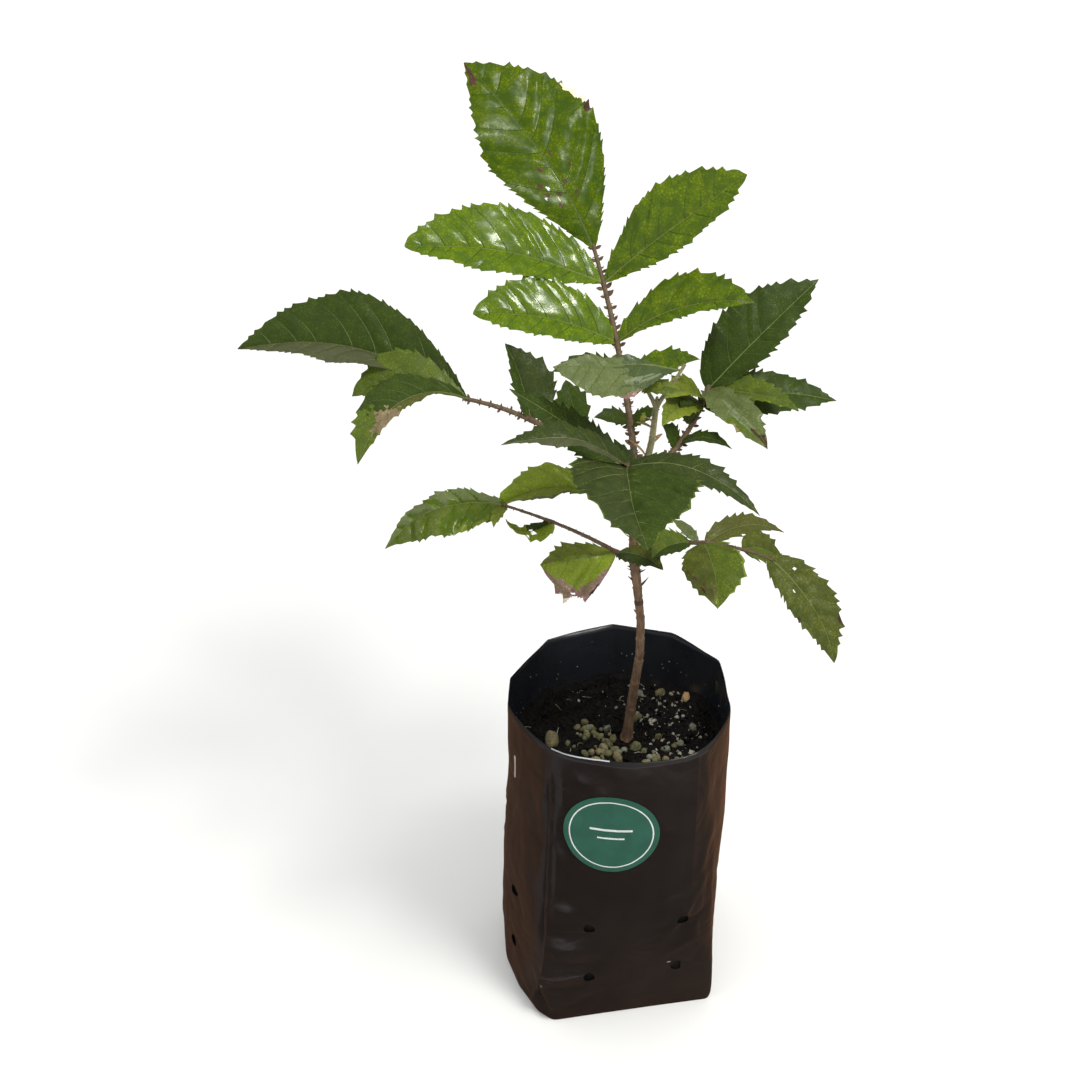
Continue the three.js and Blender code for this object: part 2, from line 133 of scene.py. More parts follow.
def makeGrain():
    # Stretched fibres with blotches, for bark, stalks and dry bits
    tree = newTree("fibreGrain", (
        ("Color", "NodeSocketColor", (0.15, 0.08, 0.05, 1)),
        ("Dark color", "NodeSocketColor", (0.05, 0.03, 0.02, 1)),
        ("Fibre scale", "NodeSocketFloat", 900.0),
        ("Stretch", "NodeSocketFloat", 0.15),
        ("Blotch scale", "NodeSocketFloat", 120.0),
    ), (("Color", "NodeSocketColor"), ("Height", "NodeSocketFloat")))
    entry = addNode(tree, "NodeGroupInput").outputs
    leave = addNode(tree, "NodeGroupOutput").inputs
    place = objectPlace(tree)
    squeeze = addNode(tree, "ShaderNodeCombineXYZ", {"X": 1.0, "Y": 1.0, "Z": entry["Stretch"]}).outputs[0]
    drawn = vectorSums(tree, "MULTIPLY", place, squeeze)
    fibre = noise(tree, drawn, entry["Fibre scale"], 4.0, 0.65).outputs["Fac"]
    blotch = noise(tree, place, entry["Blotch scale"], 3.0).outputs["Fac"]
    fibres, blotches = spread(tree, fibre, 0.35, 0.7, 0.0, 0.6), spread(tree, blotch, 0.35, 0.65, 0.0, 0.4)
    both = sums(tree, "ADD", fibres, blotches)
    tree.links.new(mixColours(tree, both, entry["Dark color"], entry["Color"]), leave["Color"])
    tree.links.new(both, leave["Height"])
    return tree


leafCells = makeLeafCells()
fibreGrain = makeGrain()


def newMaterial(name, roughness, gloss=0.5):
    material = bpy.data.materials.new(name)
    material.use_nodes = True
    shader = material.node_tree.nodes["Principled BSDF"]
    shader.inputs["Roughness"].default_value = roughness
    shader.inputs["Specular IOR Level"].default_value = gloss
    return material, material.node_tree, shader


def bumpFrom(tree, shader, height, strength, distance):
    bump = addNode(tree, "ShaderNodeBump", {"Height": height, "Strength": strength, "Distance": distance})
    tree.links.new(bump.outputs["Normal"], shader.inputs["Normal"])


def makeGrained(name, color, dark, roughness, fibre, blotch, strength, stretch=0.15, gloss=0.5):
    material, tree, shader = newMaterial(name, roughness, gloss)
    links = {"Color": tone(*color), "Dark color": tone(*dark), "Fibre scale": fibre,
             "Blotch scale": blotch, "Stretch": stretch}
    grain = addNode(tree, "ShaderNodeGroup", links, node_tree=fibreGrain)
    tree.links.new(grain.outputs["Color"], shader.inputs["Base Color"])
    bumpFrom(tree, shader, grain.outputs["Height"], strength, 0.0006)
    return material


# Leaf finishes: colour, colour of the fine net, roughness, swelling of the cells, cloudiness, gloss
leafTones = {
    "bright": ((108, 125, 16), (58, 82, 10), 0.24, 0.06, 0.75, 0.4),
    # brightDeep: the bright finish painted darker, as painted shade
    "brightDeep": ((95, 111, 14), (50, 73, 9), 0.27, 0.05, 0.85, 0.12),
    "dark": ((65, 81, 28), (45, 60, 18), 0.42, 0.2, 0.7, 0.14),
    "shaded": ((66, 77, 34), (45, 57, 23), 0.4, 0.2, 0.6, 0.2),
    "satin": ((96, 108, 40), (68, 84, 26), 0.42, 0.15, 0.5, 0.35),
    "oliveGreen": ((96, 102, 34), (60, 70, 22), 0.5, 0.25, 0.75, 0.2),
    "oliveLow": ((96, 98, 44), (72, 76, 30), 0.5, 0.15, 0.5, 0.2),
    "waxy": ((106, 116, 70), (78, 90, 46), 0.36, 0.15, 0.5, 0.3),
    # greyPurple: a dark grey-green with a painted grey sheen on it
    "greyPurple": ((88, 92, 62), (68, 72, 46), 0.5, 0.15, 0.5, 0.3),
    "light": ((98, 112, 34), (66, 84, 20), 0.42, 0.2, 0.65, 0.3),
    "fresh": ((120, 130, 42), (82, 97, 26), 0.42, 0.2, 0.65, 0.3),
    "yellowGreen": ((128, 136, 46), (98, 112, 30), 0.45, 0.15, 0.4, 0.3),
    # bloom: pale streaks of painted sheen, standing for gleams of light on the blade
    "bloom": ((122, 132, 102), (100, 110, 78), 0.4, 0.15, 0.6, 0.3),
    "youngGloss": ((92, 110, 26), (64, 84, 16), 0.26, 0.15, 0.7, 0.45),
    "limeGreen": ((142, 160, 38), (108, 128, 26), 0.42, 0.15, 0.5, 0.3),
    "youngGrey": ((106, 116, 72), (82, 94, 50), 0.5, 0.12, 0.5, 0.3),
    "underside": ((98, 106, 62), (76, 84, 44), 0.6, 0.15, 0.4, 0.3),
    "deadTan": ((150, 136, 102), (112, 96, 70), 0.8, 0.5, 0.8, 0.3),
    "deadPurple": ((182, 154, 138), (120, 88, 84), 0.8, 0.6, 0.8, 0.3),
    "deadBrown": ((84, 60, 38), (50, 34, 24), 0.75, 0.5, 0.6, 0.3),
    "cream": ((236, 230, 208), (206, 196, 166), 0.7, 0.3, 0.4, 0.3),
    "speck": ((92, 64, 42), (64, 42, 32), 0.6, 0.3, 0.4, 0.3),
    "veinPale": ((116, 126, 72), (96, 106, 56), 0.45, 0.1, 0.3, 0.3),
    "veinSoft": ((86, 98, 50), (70, 82, 38), 0.45, 0.1, 0.3, 0.3),
    "youngDark": ((78, 93, 50), (60, 76, 38), 0.38, 0.15, 0.7, 0.5),
    # brightLit: the bright finish painted lighter, as painted light
    "brightLit": ((112, 132, 20), (64, 90, 12), 0.23, 0.05, 0.75, 0.45),
    # veinDeep: dark green veins, partly their own colour and partly painted shade of the grooves they lie
    # in
    "veinDeep": ((60, 82, 24), (50, 70, 18), 0.35, 0.1, 0.3, 0.3),
    "veinGreen": ((78, 98, 34), (60, 78, 26), 0.35, 0.1, 0.3, 0.3),
}
toneNames = list(leafTones)


def makeLeafMaterial(name, color, net, roughness, swell, cloud, gloss):
    material, tree, shader = newMaterial(name, roughness, gloss)
    links = {"Color": tone(*color), "Net color": tone(*net), "Cloud": cloud}
    cells = addNode(tree, "ShaderNodeGroup", links, node_tree=leafCells)
    tree.links.new(cells.outputs["Color"], shader.inputs["Base Color"])
    tree.links.new(sums(tree, "MULTIPLY", cells.outputs["Gloss"], roughness), shader.inputs["Roughness"])
    bumpFrom(tree, shader, cells.outputs["Height"], swell, 0.0003)
    return material


leafMaterials = [makeLeafMaterial(name, *look) for name, look in leafTones.items()]


# Meshes: a heap gathers points and faces, and a piece is made of it at the end

def newHeap():
    return {"points": [], "faces": [], "slots": [], "count": 0}


def pile(heap, points, faces, slots=0):
    points = np.asarray(points, float).reshape(-1, 3)
    faces = np.asarray(faces, int)
    heap["points"].append(points)
    heap["faces"].append(faces + heap["count"])
    heap["slots"].append(np.broadcast_to(slots, len(faces)).astype(int))
    heap["count"] += len(points)


def makeMesh(name, heap, materials, sharp=50):
    mesh = bpy.data.meshes.new(name)
    points = np.concatenate(heap["points"]) * millimetre
    corners = np.concatenate([faces.ravel() for faces in heap["faces"]])
    sizes = np.concatenate([np.full(len(faces), faces.shape[1]) for faces in heap["faces"]])
    mesh.vertices.add(len(points))
    mesh.vertices.foreach_set("co", points.astype(np.float32).ravel())
    mesh.loops.add(len(corners))
    mesh.loops.foreach_set("vertex_index", corners.astype(np.int32))
    mesh.polygons.add(len(sizes))
    mesh.polygons.foreach_set("loop_start", (np.cumsum(sizes) - sizes).astype(np.int32))
    kept, slots = np.unique(np.concatenate(heap["slots"]), return_inverse=True)
    mesh.polygons.foreach_set("material_index", slots.astype(np.int32))
    mesh.update(calc_edges=True)
    mesh.validate()
    for index in kept:
        mesh.materials.append(materials[index])
    mesh.shade_smooth()
    mesh.set_sharp_from_angle(angle=math.radians(sharp))
    piece = bpy.data.objects.new(name, mesh)
    bpy.context.scene.collection.objects.link(piece)
    return piece


def makePiece(name, heap, materials, replaced=(), sharp=50):
    piece = makeMesh(name, heap, materials, sharp)
    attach(piece, "root")
    if replaced:
        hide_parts(*replaced)


def unit(vectors):
    return vectors / np.maximum(np.linalg.norm(vectors, axis=-1, keepdims=True), 1e-9)


def gridQuads(rows, columns, closed=False):
    i, j = np.meshgrid(np.arange(rows - 1), np.arange(columns if closed else columns - 1), indexing="ij")
    after = (j + 1) % columns
    quads = [i * columns + j, i * columns + after, (i + 1) * columns + after, (i + 1) * columns + j]
    return np.stack(quads, -1).reshape(-1, 4)


def pileShell(heap, top, bottom, quads, slots, underSlots):
    # closes two matching skins: open edges of the kept quads get a wall
    count = len(top)
    start, end = quads.ravel(), np.roll(quads, -1, axis=1).ravel()
    isOpen = ~np.isin(start * count + end, end * count + start)
    owner = np.repeat(np.arange(len(quads)), 4)[isOpen]
    start, end = start[isOpen], end[isOpen]
    walls = np.stack([end, start, start + count, end + count], -1)
    faces = np.concatenate([quads, quads[:, ::-1] + count, walls])
    used, faces = np.unique(faces, return_inverse=True)
    points = np.concatenate([top, bottom])[used]
    pile(heap, points, faces.reshape(-1, 4), np.concatenate([slots, underSlots, slots[owner]]))


def pileEnd(heap, ring, middle, slot, order):
    sides = len(ring)
    around = np.arange(sides)
    fan = np.stack([np.full(sides, sides), (around + 1) % sides, around], -1)[:, ::order]
    pile(heap, np.vstack([ring, middle]), fan, slot)


def pileTube(heap, middles, rings, slot=0):
    # rings: stations x sides x 3; the ends are closed with fans
    pile(heap, rings, gridQuads(*rings.shape[:2], closed=True), slot)
    pileEnd(heap, rings[0], middles[0], slot, 1)
    pileEnd(heap, rings[-1], middles[-1], slot, -1)


def tubeRings(points, radii, sides, wobble=0.0):
    ahead = unit(np.gradient(points, axis=0))
    across = np.zeros_like(points)
    last = np.array([1.0, 0.02, 0.03])
    for i, course in enumerate(ahead):
        last = last - course * last.dot(course)
        last = last / np.linalg.norm(last)
        across[i] = last
    up = np.cross(ahead, across)
    turn = np.linspace(0, fullTurn, sides, endpoint=False)
    reach = np.broadcast_to(np.asarray(radii, float)[:, None], (len(points), sides)) + wobble
    ring = across[:, None] * np.cos(turn)[None, :, None] + up[:, None] * np.sin(turn)[None, :, None]
    return points[:, None] + ring * reach[..., None]


def pileLine(heap, line, radii, sides, slot=0):
    pileTube(heap, line, tubeRings(line, radii, sides), slot)


def towards(heading, rise):
    turn, lift = math.radians(heading), math.radians(rise)
    return np.array([math.cos(lift) * math.cos(turn), math.cos(lift) * math.sin(turn), math.sin(lift)])


def smoothStep(value, low, high):
    share = np.clip((value - low) / (high - low), 0, 1)
    return share * share * (3 - 2 * share)


def arcFrom(angles, angle):  # the shorter way round, in degrees
    return (angles - angle + 180) % 360 - 180


# The stem's middle line: height, x, y, radius
stemLine = np.array([
    [151.7, 4.1, 4.2, 3.6], [154, 4.4, 4.1, 3.1], [162, 5.2, 4.0, 2.8], [178, 6.6, 4.0, 2.6],
    [208, 9.8, 3.0, 2.3], [231, 9.7, 2.0, 2.2], [254, 7.2, 1.0, 2.4], [270, 5.2, 0, 2.9],
    [289, 4.8, -1, 2.6], [307, 6.2, -2, 2.3], [325, 9.1, -3, 1.9], [343, 12.0, -4, 1.6],
    [366, 13.6, -6, 1.3],
])
stemFoot = (4.1, 4.2)


def stemAt(heights):
    heights = np.atleast_1d(np.asarray(heights, float))
    x, y, radius = (np.interp(heights, stemLine[:, 0], stemLine[:, k]) for k in (1, 2, 3))
    return np.stack([x, y, heights], -1), radius


# Leaflets: the blade's rule, with finer teeth, veins and swelling between them
blade = {
    "toothPitch": 5.2, "toothDepth": 1.9, "toothSizes": (0.4, 1.4), "crest": 0.74, "toothLean": 0.7,
    "unevenTeeth": 0.26, "thickness": 0.34, "thinMargin": 0.5, "droop": 0.12, "rowWidth": 0.95,
    "widest": 0.42, "neck": 0.55, "tip": 1.1,
    "veinSpacing": 10.5, "veinSlant": 0.85, "veinWidth": 0.5, "veinLift": 0.14, "unevenVeins": 0.22,
    # how much each bay differs, a finer quilting with its pitch, slow and fine unevenness with their scales
    "bays": 0.3, "quilt": 0.08, "quiltPitch": 6.5,
    "slow": 0.7, "slowScale": 0.14, "fine": 0.13, "fineScale": 0.55,
    "midribSink": 0.35, "sinkWidth": 1.1,
    # waves of the margin and of the middle: how many along the blade, and how high for its length
    "marginWaves": 2.3, "finerWaves": 4.1, "middleWaves": 1.3, "marginHeight": 0.008, "middleHeight": 0.006,
    # how far the painted shade beside the side veins reaches, as a share of their spacing
    "grooveWidth": 0.16,
}
toothPhases = np.array([0, 0.17, 0.34, 0.5, 0.64, 0.74, 0.8, 0.9])


def look(tones, pucker, **more):  # one tone, or those of the left and the right half
    return {"tones": (tones.split() * 2)[:2], "pucker": pucker, **more}


def readLeaf(root, plan, look, seed):
    _, course, reach, halves, (bow, sweep), face, fold, *rest = plan
    widest, neck = (*rest, *(blade["widest"], blade["neck"])[len(rest):])
    ahead = towards(*course)
    up = towards(*face)
    up = unit(up - ahead * up.dot(ahead))
    across = np.cross(ahead, up)
    random = np.random.default_rng(seed)
    teeth = max(5, round(reach / look.get("pitch", blade["toothPitch"])))
    return {
        "root": root, "ahead": ahead, "up": up, "reach": reach, "halves": halves,
        "fold": math.radians(fold),
        "bend": up * math.tan(math.radians(bow) / 2) + across * math.tan(math.radians(sweep) / 2),
        "widest": widest, "neck": neck, "tip": look.get("tip", blade["tip"]),
        "teeth": teeth, "toothSizes": random.uniform(*blade["toothSizes"], (2, teeth + 1)),
        "toothDepth": look.get("teeth", 1.0) * blade["toothDepth"],
        "pucker": look["pucker"], "wave": look.get("wave", 1.0),
        "veins": look.get("veins", max(4, round(reach / blade["veinSpacing"]))),
        "phases": random.uniform(0, fullTurn, 6),
    }


def halfWidth(leaf, v):
    return np.where(v < 0, leaf["halves"][0], leaf["halves"][1])


def bladeWidth(leaf, t, v):  # from the midrib to the smooth margin
    shift = math.log(0.5) / math.log(leaf["widest"])
    bulge = np.maximum(0, np.sin(math.pi * np.clip(t, 0, 1) ** shift))
    return halfWidth(leaf, v) * bulge ** (leaf["neck"] + (leaf["tip"] - leaf["neck"]) * t)


def veinRun(leaf, lateral, v):  # how far ahead of its start a side vein is, as a share of the length
    return blade["veinSlant"] * lateral / leaf["reach"] * (lateral / halfWidth(leaf, v) + 0.02) ** 0.25


def softNoise(points, phases):  # a slow uneven value for ragged borders
    x, y, z = points[..., 0], points[..., 1], points[..., 2]
    return (np.sin(0.9 * x + 0.7 * z + phases[0]) + np.sin(1.1 * y - 0.8 * x + phases[1])
            + np.sin(1.7 * z + 1.3 * y + phases[2])) / 3


def toothPhase(leaf, t):  # counts the teeth, whose pitch varies
    waves = max(1, round(leaf["teeth"] / 3.6))
    start = leaf["phases"][5]
    uneven = np.sin(fullTurn * waves * t + start) - math.sin(start)
    return leaf["teeth"] * t + blade["unevenTeeth"] * uneven


def toothRise(leaf, t, v):  # a slow rise to the point and a quick fall behind it
    phase = toothPhase(leaf, np.clip(t, 0, 0.99999))
    part = phase % 1
    rise = (part / blade["crest"]) ** 1.5
    fall = (np.maximum(0, 1 - part) / (1 - blade["crest"])) ** 1.2
    size = leaf["toothSizes"][(v > 0).astype(int), phase.astype(int)]
    return np.where(part < blade["crest"], rise, fall) * size


def veinBeat(leaf, along, side):  # counts the side veins, which stand a little unevenly
    uneven = blade["unevenVeins"] * np.sin(along * leaf["veins"] * 2.1 + leaf["phases"][4] * side)
    return along * leaf["veins"] + uneven + np.where(side < 0, 0.5, 0.0)


def bladeSwell(leaf, t, v, smooth, lateral, flat, spot):
    # between the side veins the blade swells, and near the margin it calms down
    beat = veinBeat(leaf, t - veinRun(leaf, smooth * np.abs(v), v), np.sign(v))
    bay = np.floor(beat) * 2.4 + leaf["phases"][3] * np.sign(v)
    swell = np.abs(np.sin(math.pi * beat)) ** 1.2 * (1 + blade["bays"] * np.sin(bay * 1.7))
    swell = swell * (1 + blade["quilt"] * np.sin(fullTurn * lateral / blade["quiltPitch"] + bay)) - 0.5
    slow = softNoise(flat * blade["slowScale"], leaf["phases"])
    fine = softNoise(spot * blade["fineScale"], leaf["phases"][2:])
    swell = swell * (0.8 + blade["slow"] * slow) + blade["fine"] * fine
    body = smoothStep(np.abs(v), 0.02, 0.2) * (1 - 0.75 * smoothStep(np.abs(v), 0.75, 1.0))
    return swell * body * np.minimum(1, smooth / 8)


def bladeWave(leaf, t, v):
    first, second, third = leaf["phases"][:3]
    margin = np.sin(fullTurn * blade["marginWaves"] * t + first + 2 * np.sign(v))
    margin = margin + 0.6 * np.sin(fullTurn * blade["finerWaves"] * t + second - np.sign(v))
    middle = np.sin(fullTurn * blade["middleWaves"] * t + third)
    return blade["marginHeight"] * margin * v ** 2 + blade["middleHeight"] * middle * (1 - np.abs(v))


def leafSurface(leaf, t, v):
    bow = (t * (1 - t))[..., None]
    middle = leaf["root"] + leaf["reach"] * (leaf["ahead"] * t[..., None] + leaf["bend"] * bow)
    along = unit(leaf["ahead"] + leaf["bend"] * (1 - 2 * t)[..., None])
    normal = unit(leaf["up"] - along * (along @ leaf["up"])[..., None])
    side = np.cross(along, normal)
    smooth = bladeWidth(leaf, t, v)
    outward = np.abs(v)
    depth = leaf["toothDepth"] * np.minimum(1, smooth / 6)
    tooth = toothRise(leaf, t, v)
    lateral = smooth * outward + depth * tooth * outward ** 5
    signed = (np.sign(v) * lateral)[..., None]
    spot = middle + side * signed * math.cos(leaf["fold"])
    ends = np.maximum(0, np.sin(math.pi * np.clip(t, 0, 1))) ** 0.5
    swell = bladeSwell(leaf, t, v, smooth, lateral, middle + side * signed, spot)
    sink = blade["midribSink"] * np.exp(-(lateral / blade["sinkWidth"]) ** 2)
    lift = lateral * math.sin(leaf["fold"]) - blade["droop"] * (smooth + depth) * outward ** 2
    lift = lift + ends * leaf["pucker"] * (swell - sink)
    lift = lift + ends * leaf["wave"] * leaf["reach"] * bladeWave(leaf, t, v)
    lean = blade["toothLean"] * depth * tooth * outward ** 6 * np.maximum(0, 1 - t) ** 0.3
    return spot + normal * lift[..., None] + along * lean[..., None], normal


def paintLeaf(leaf, look, t, v, ragged):  # each face's tone above and below, and which faces stay
    left, right = (toneNames.index(name) for name in look["tones"])
    slots = np.where(v < 0, left, right)
    under = np.full(len(v), toneNames.index("underside"))
    # painted shade: the groove tone is laid beside the side veins, where shade falls in the dips between
    # the swellings
    if "groove" in look:  # another tone beside the side veins
        beat = veinBeat(leaf, t - veinRun(leaf, bladeWidth(leaf, t, v) * np.abs(v), v), np.sign(v))
        near = np.abs((beat + 0.5) % 1 - 0.5) + 0.05 * ragged
        narrow = near < blade["grooveWidth"] - 0.06 * np.abs(v)
        slots = np.where(narrow, toneNames.index(look["groove"]), slots)
    if "edge" in look:  # tone, side (0 is both), and where it begins
        tint, side, inner = look["edge"]
        outward = v * side if side else np.abs(v)
        slots = np.where(outward + 0.7 * (1 - inner) * ragged > inner, toneNames.index(tint), slots)
    keep = np.ones(len(v), bool)
    for patchT, patchV, length, width, name in look.get("patches", ()):
        ahead, aside = (t - patchT) * leaf["reach"] / length, (v - patchV) * halfWidth(leaf, v) / width
        hit = (ahead ** 2 + aside ** 2) * (1 + 0.45 * ragged) < 1
        if name == "hole":
            keep &= ~hit
            continue
        slots = np.where(hit, toneNames.index(name), slots)
        if name.startswith("dead") or name == "cream":
            under = np.where(hit, toneNames.index(name), under)
    return slots, under, keep


def pileLeaf(heap, leaf, look):
    wanted = (np.arange(leaf["teeth"])[:, None] + toothPhases).ravel()
    even = np.linspace(0, 1, 4000)
    t = np.interp(wanted, toothPhase(leaf, even), even)
    t = np.unique(np.concatenate([[0.004], t[(t > 0.008) & (t < 0.98)], [0.988, 0.997]]))
    left, right = (max(5, round(half / blade["rowWidth"])) for half in leaf["halves"])
    v = np.concatenate([-(np.arange(left, 0, -1) / left) ** 0.85, [0.0],
                        (np.arange(1, right + 1) / right) ** 0.85])
    quads = gridQuads(len(t), len(v))
    t, v = np.meshgrid(t, v, indexing="ij")
    top, normal = leafSurface(leaf, t, v)
    bottom = top - normal * (blade["thickness"] * (1 - blade["thinMargin"] * np.abs(v) ** 3))[..., None]
    ragged = softNoise(top.reshape(-1, 3)[quads].mean(1), leaf["phases"])
    slots, under, keep = paintLeaf(leaf, look, t.ravel()[quads].mean(1), v.ravel()[quads].mean(1), ragged)
    pileShell(heap, top.reshape(-1, 3), bottom.reshape(-1, 3), quads[keep], slots[keep], under[keep])


def pileVein(heap, leaf, t, v, widths, crest, below, slot):
    spots, normal = leafSurface(leaf, t, v)
    spots = spots + normal * blade["veinLift"] * min(1, leaf["pucker"])
    below = below + blade["veinLift"]
    across = unit(np.cross(normal, unit(np.gradient(spots, axis=0)))) * (widths / 2)[:, None]
    rings = np.stack([spots + across - normal * 0.1, spots - normal * below[:, None],
                      spots - across - normal * 0.1, spots + normal * crest[:, None]], 1)
    pileTube(heap, spots, rings[:, ::-1], slot)


def pileVeins(heap, leaf, look):
    size = min(1.0, leaf["reach"] / 80) * look.get("veinSize", 1.0)
    t = np.linspace(0.003, 0.97, 40)
    fade = 1 - 0.75 * t
    pileVein(heap, leaf, t, np.zeros_like(t) + 1e-6, 2.4 * blade["veinWidth"] * size * fade,
             0.16 * size * fade, blade["thickness"] + 0.7 * size * fade,
             toneNames.index(look.get("midrib", "veinPale")))
    slot = toneNames.index(look.get("vein", "veinSoft"))
    along = np.linspace(-0.2, 1, 400)
    for sign in (-1, 1):
        beats = veinBeat(leaf, along, sign)
        lateral = np.linspace(0.3, leaf["halves"][0 if sign < 0 else 1], 160)
        for k in range(leaf["veins"] + 1):
            t = np.interp(k, beats, along) + veinRun(leaf, lateral, sign)
            v = lateral / np.maximum(bladeWidth(leaf, t, sign), 0.01)
            inside = (t > 0.03) & (t < 0.97) & (np.maximum.accumulate(v) < 0.94)
            if inside.sum() < 8:
                continue
            picked = np.linspace(0, inside.sum() - 1, 12).astype(int)
            fade = (1 - 0.7 * np.linspace(0, 1, len(picked))) * size
            pileVein(heap, leaf, t[inside][picked], v[inside][picked] * sign,
                     1.15 * blade["veinWidth"] * fade, 0.07 * fade, blade["thickness"] + 0.28 * fade, slot)


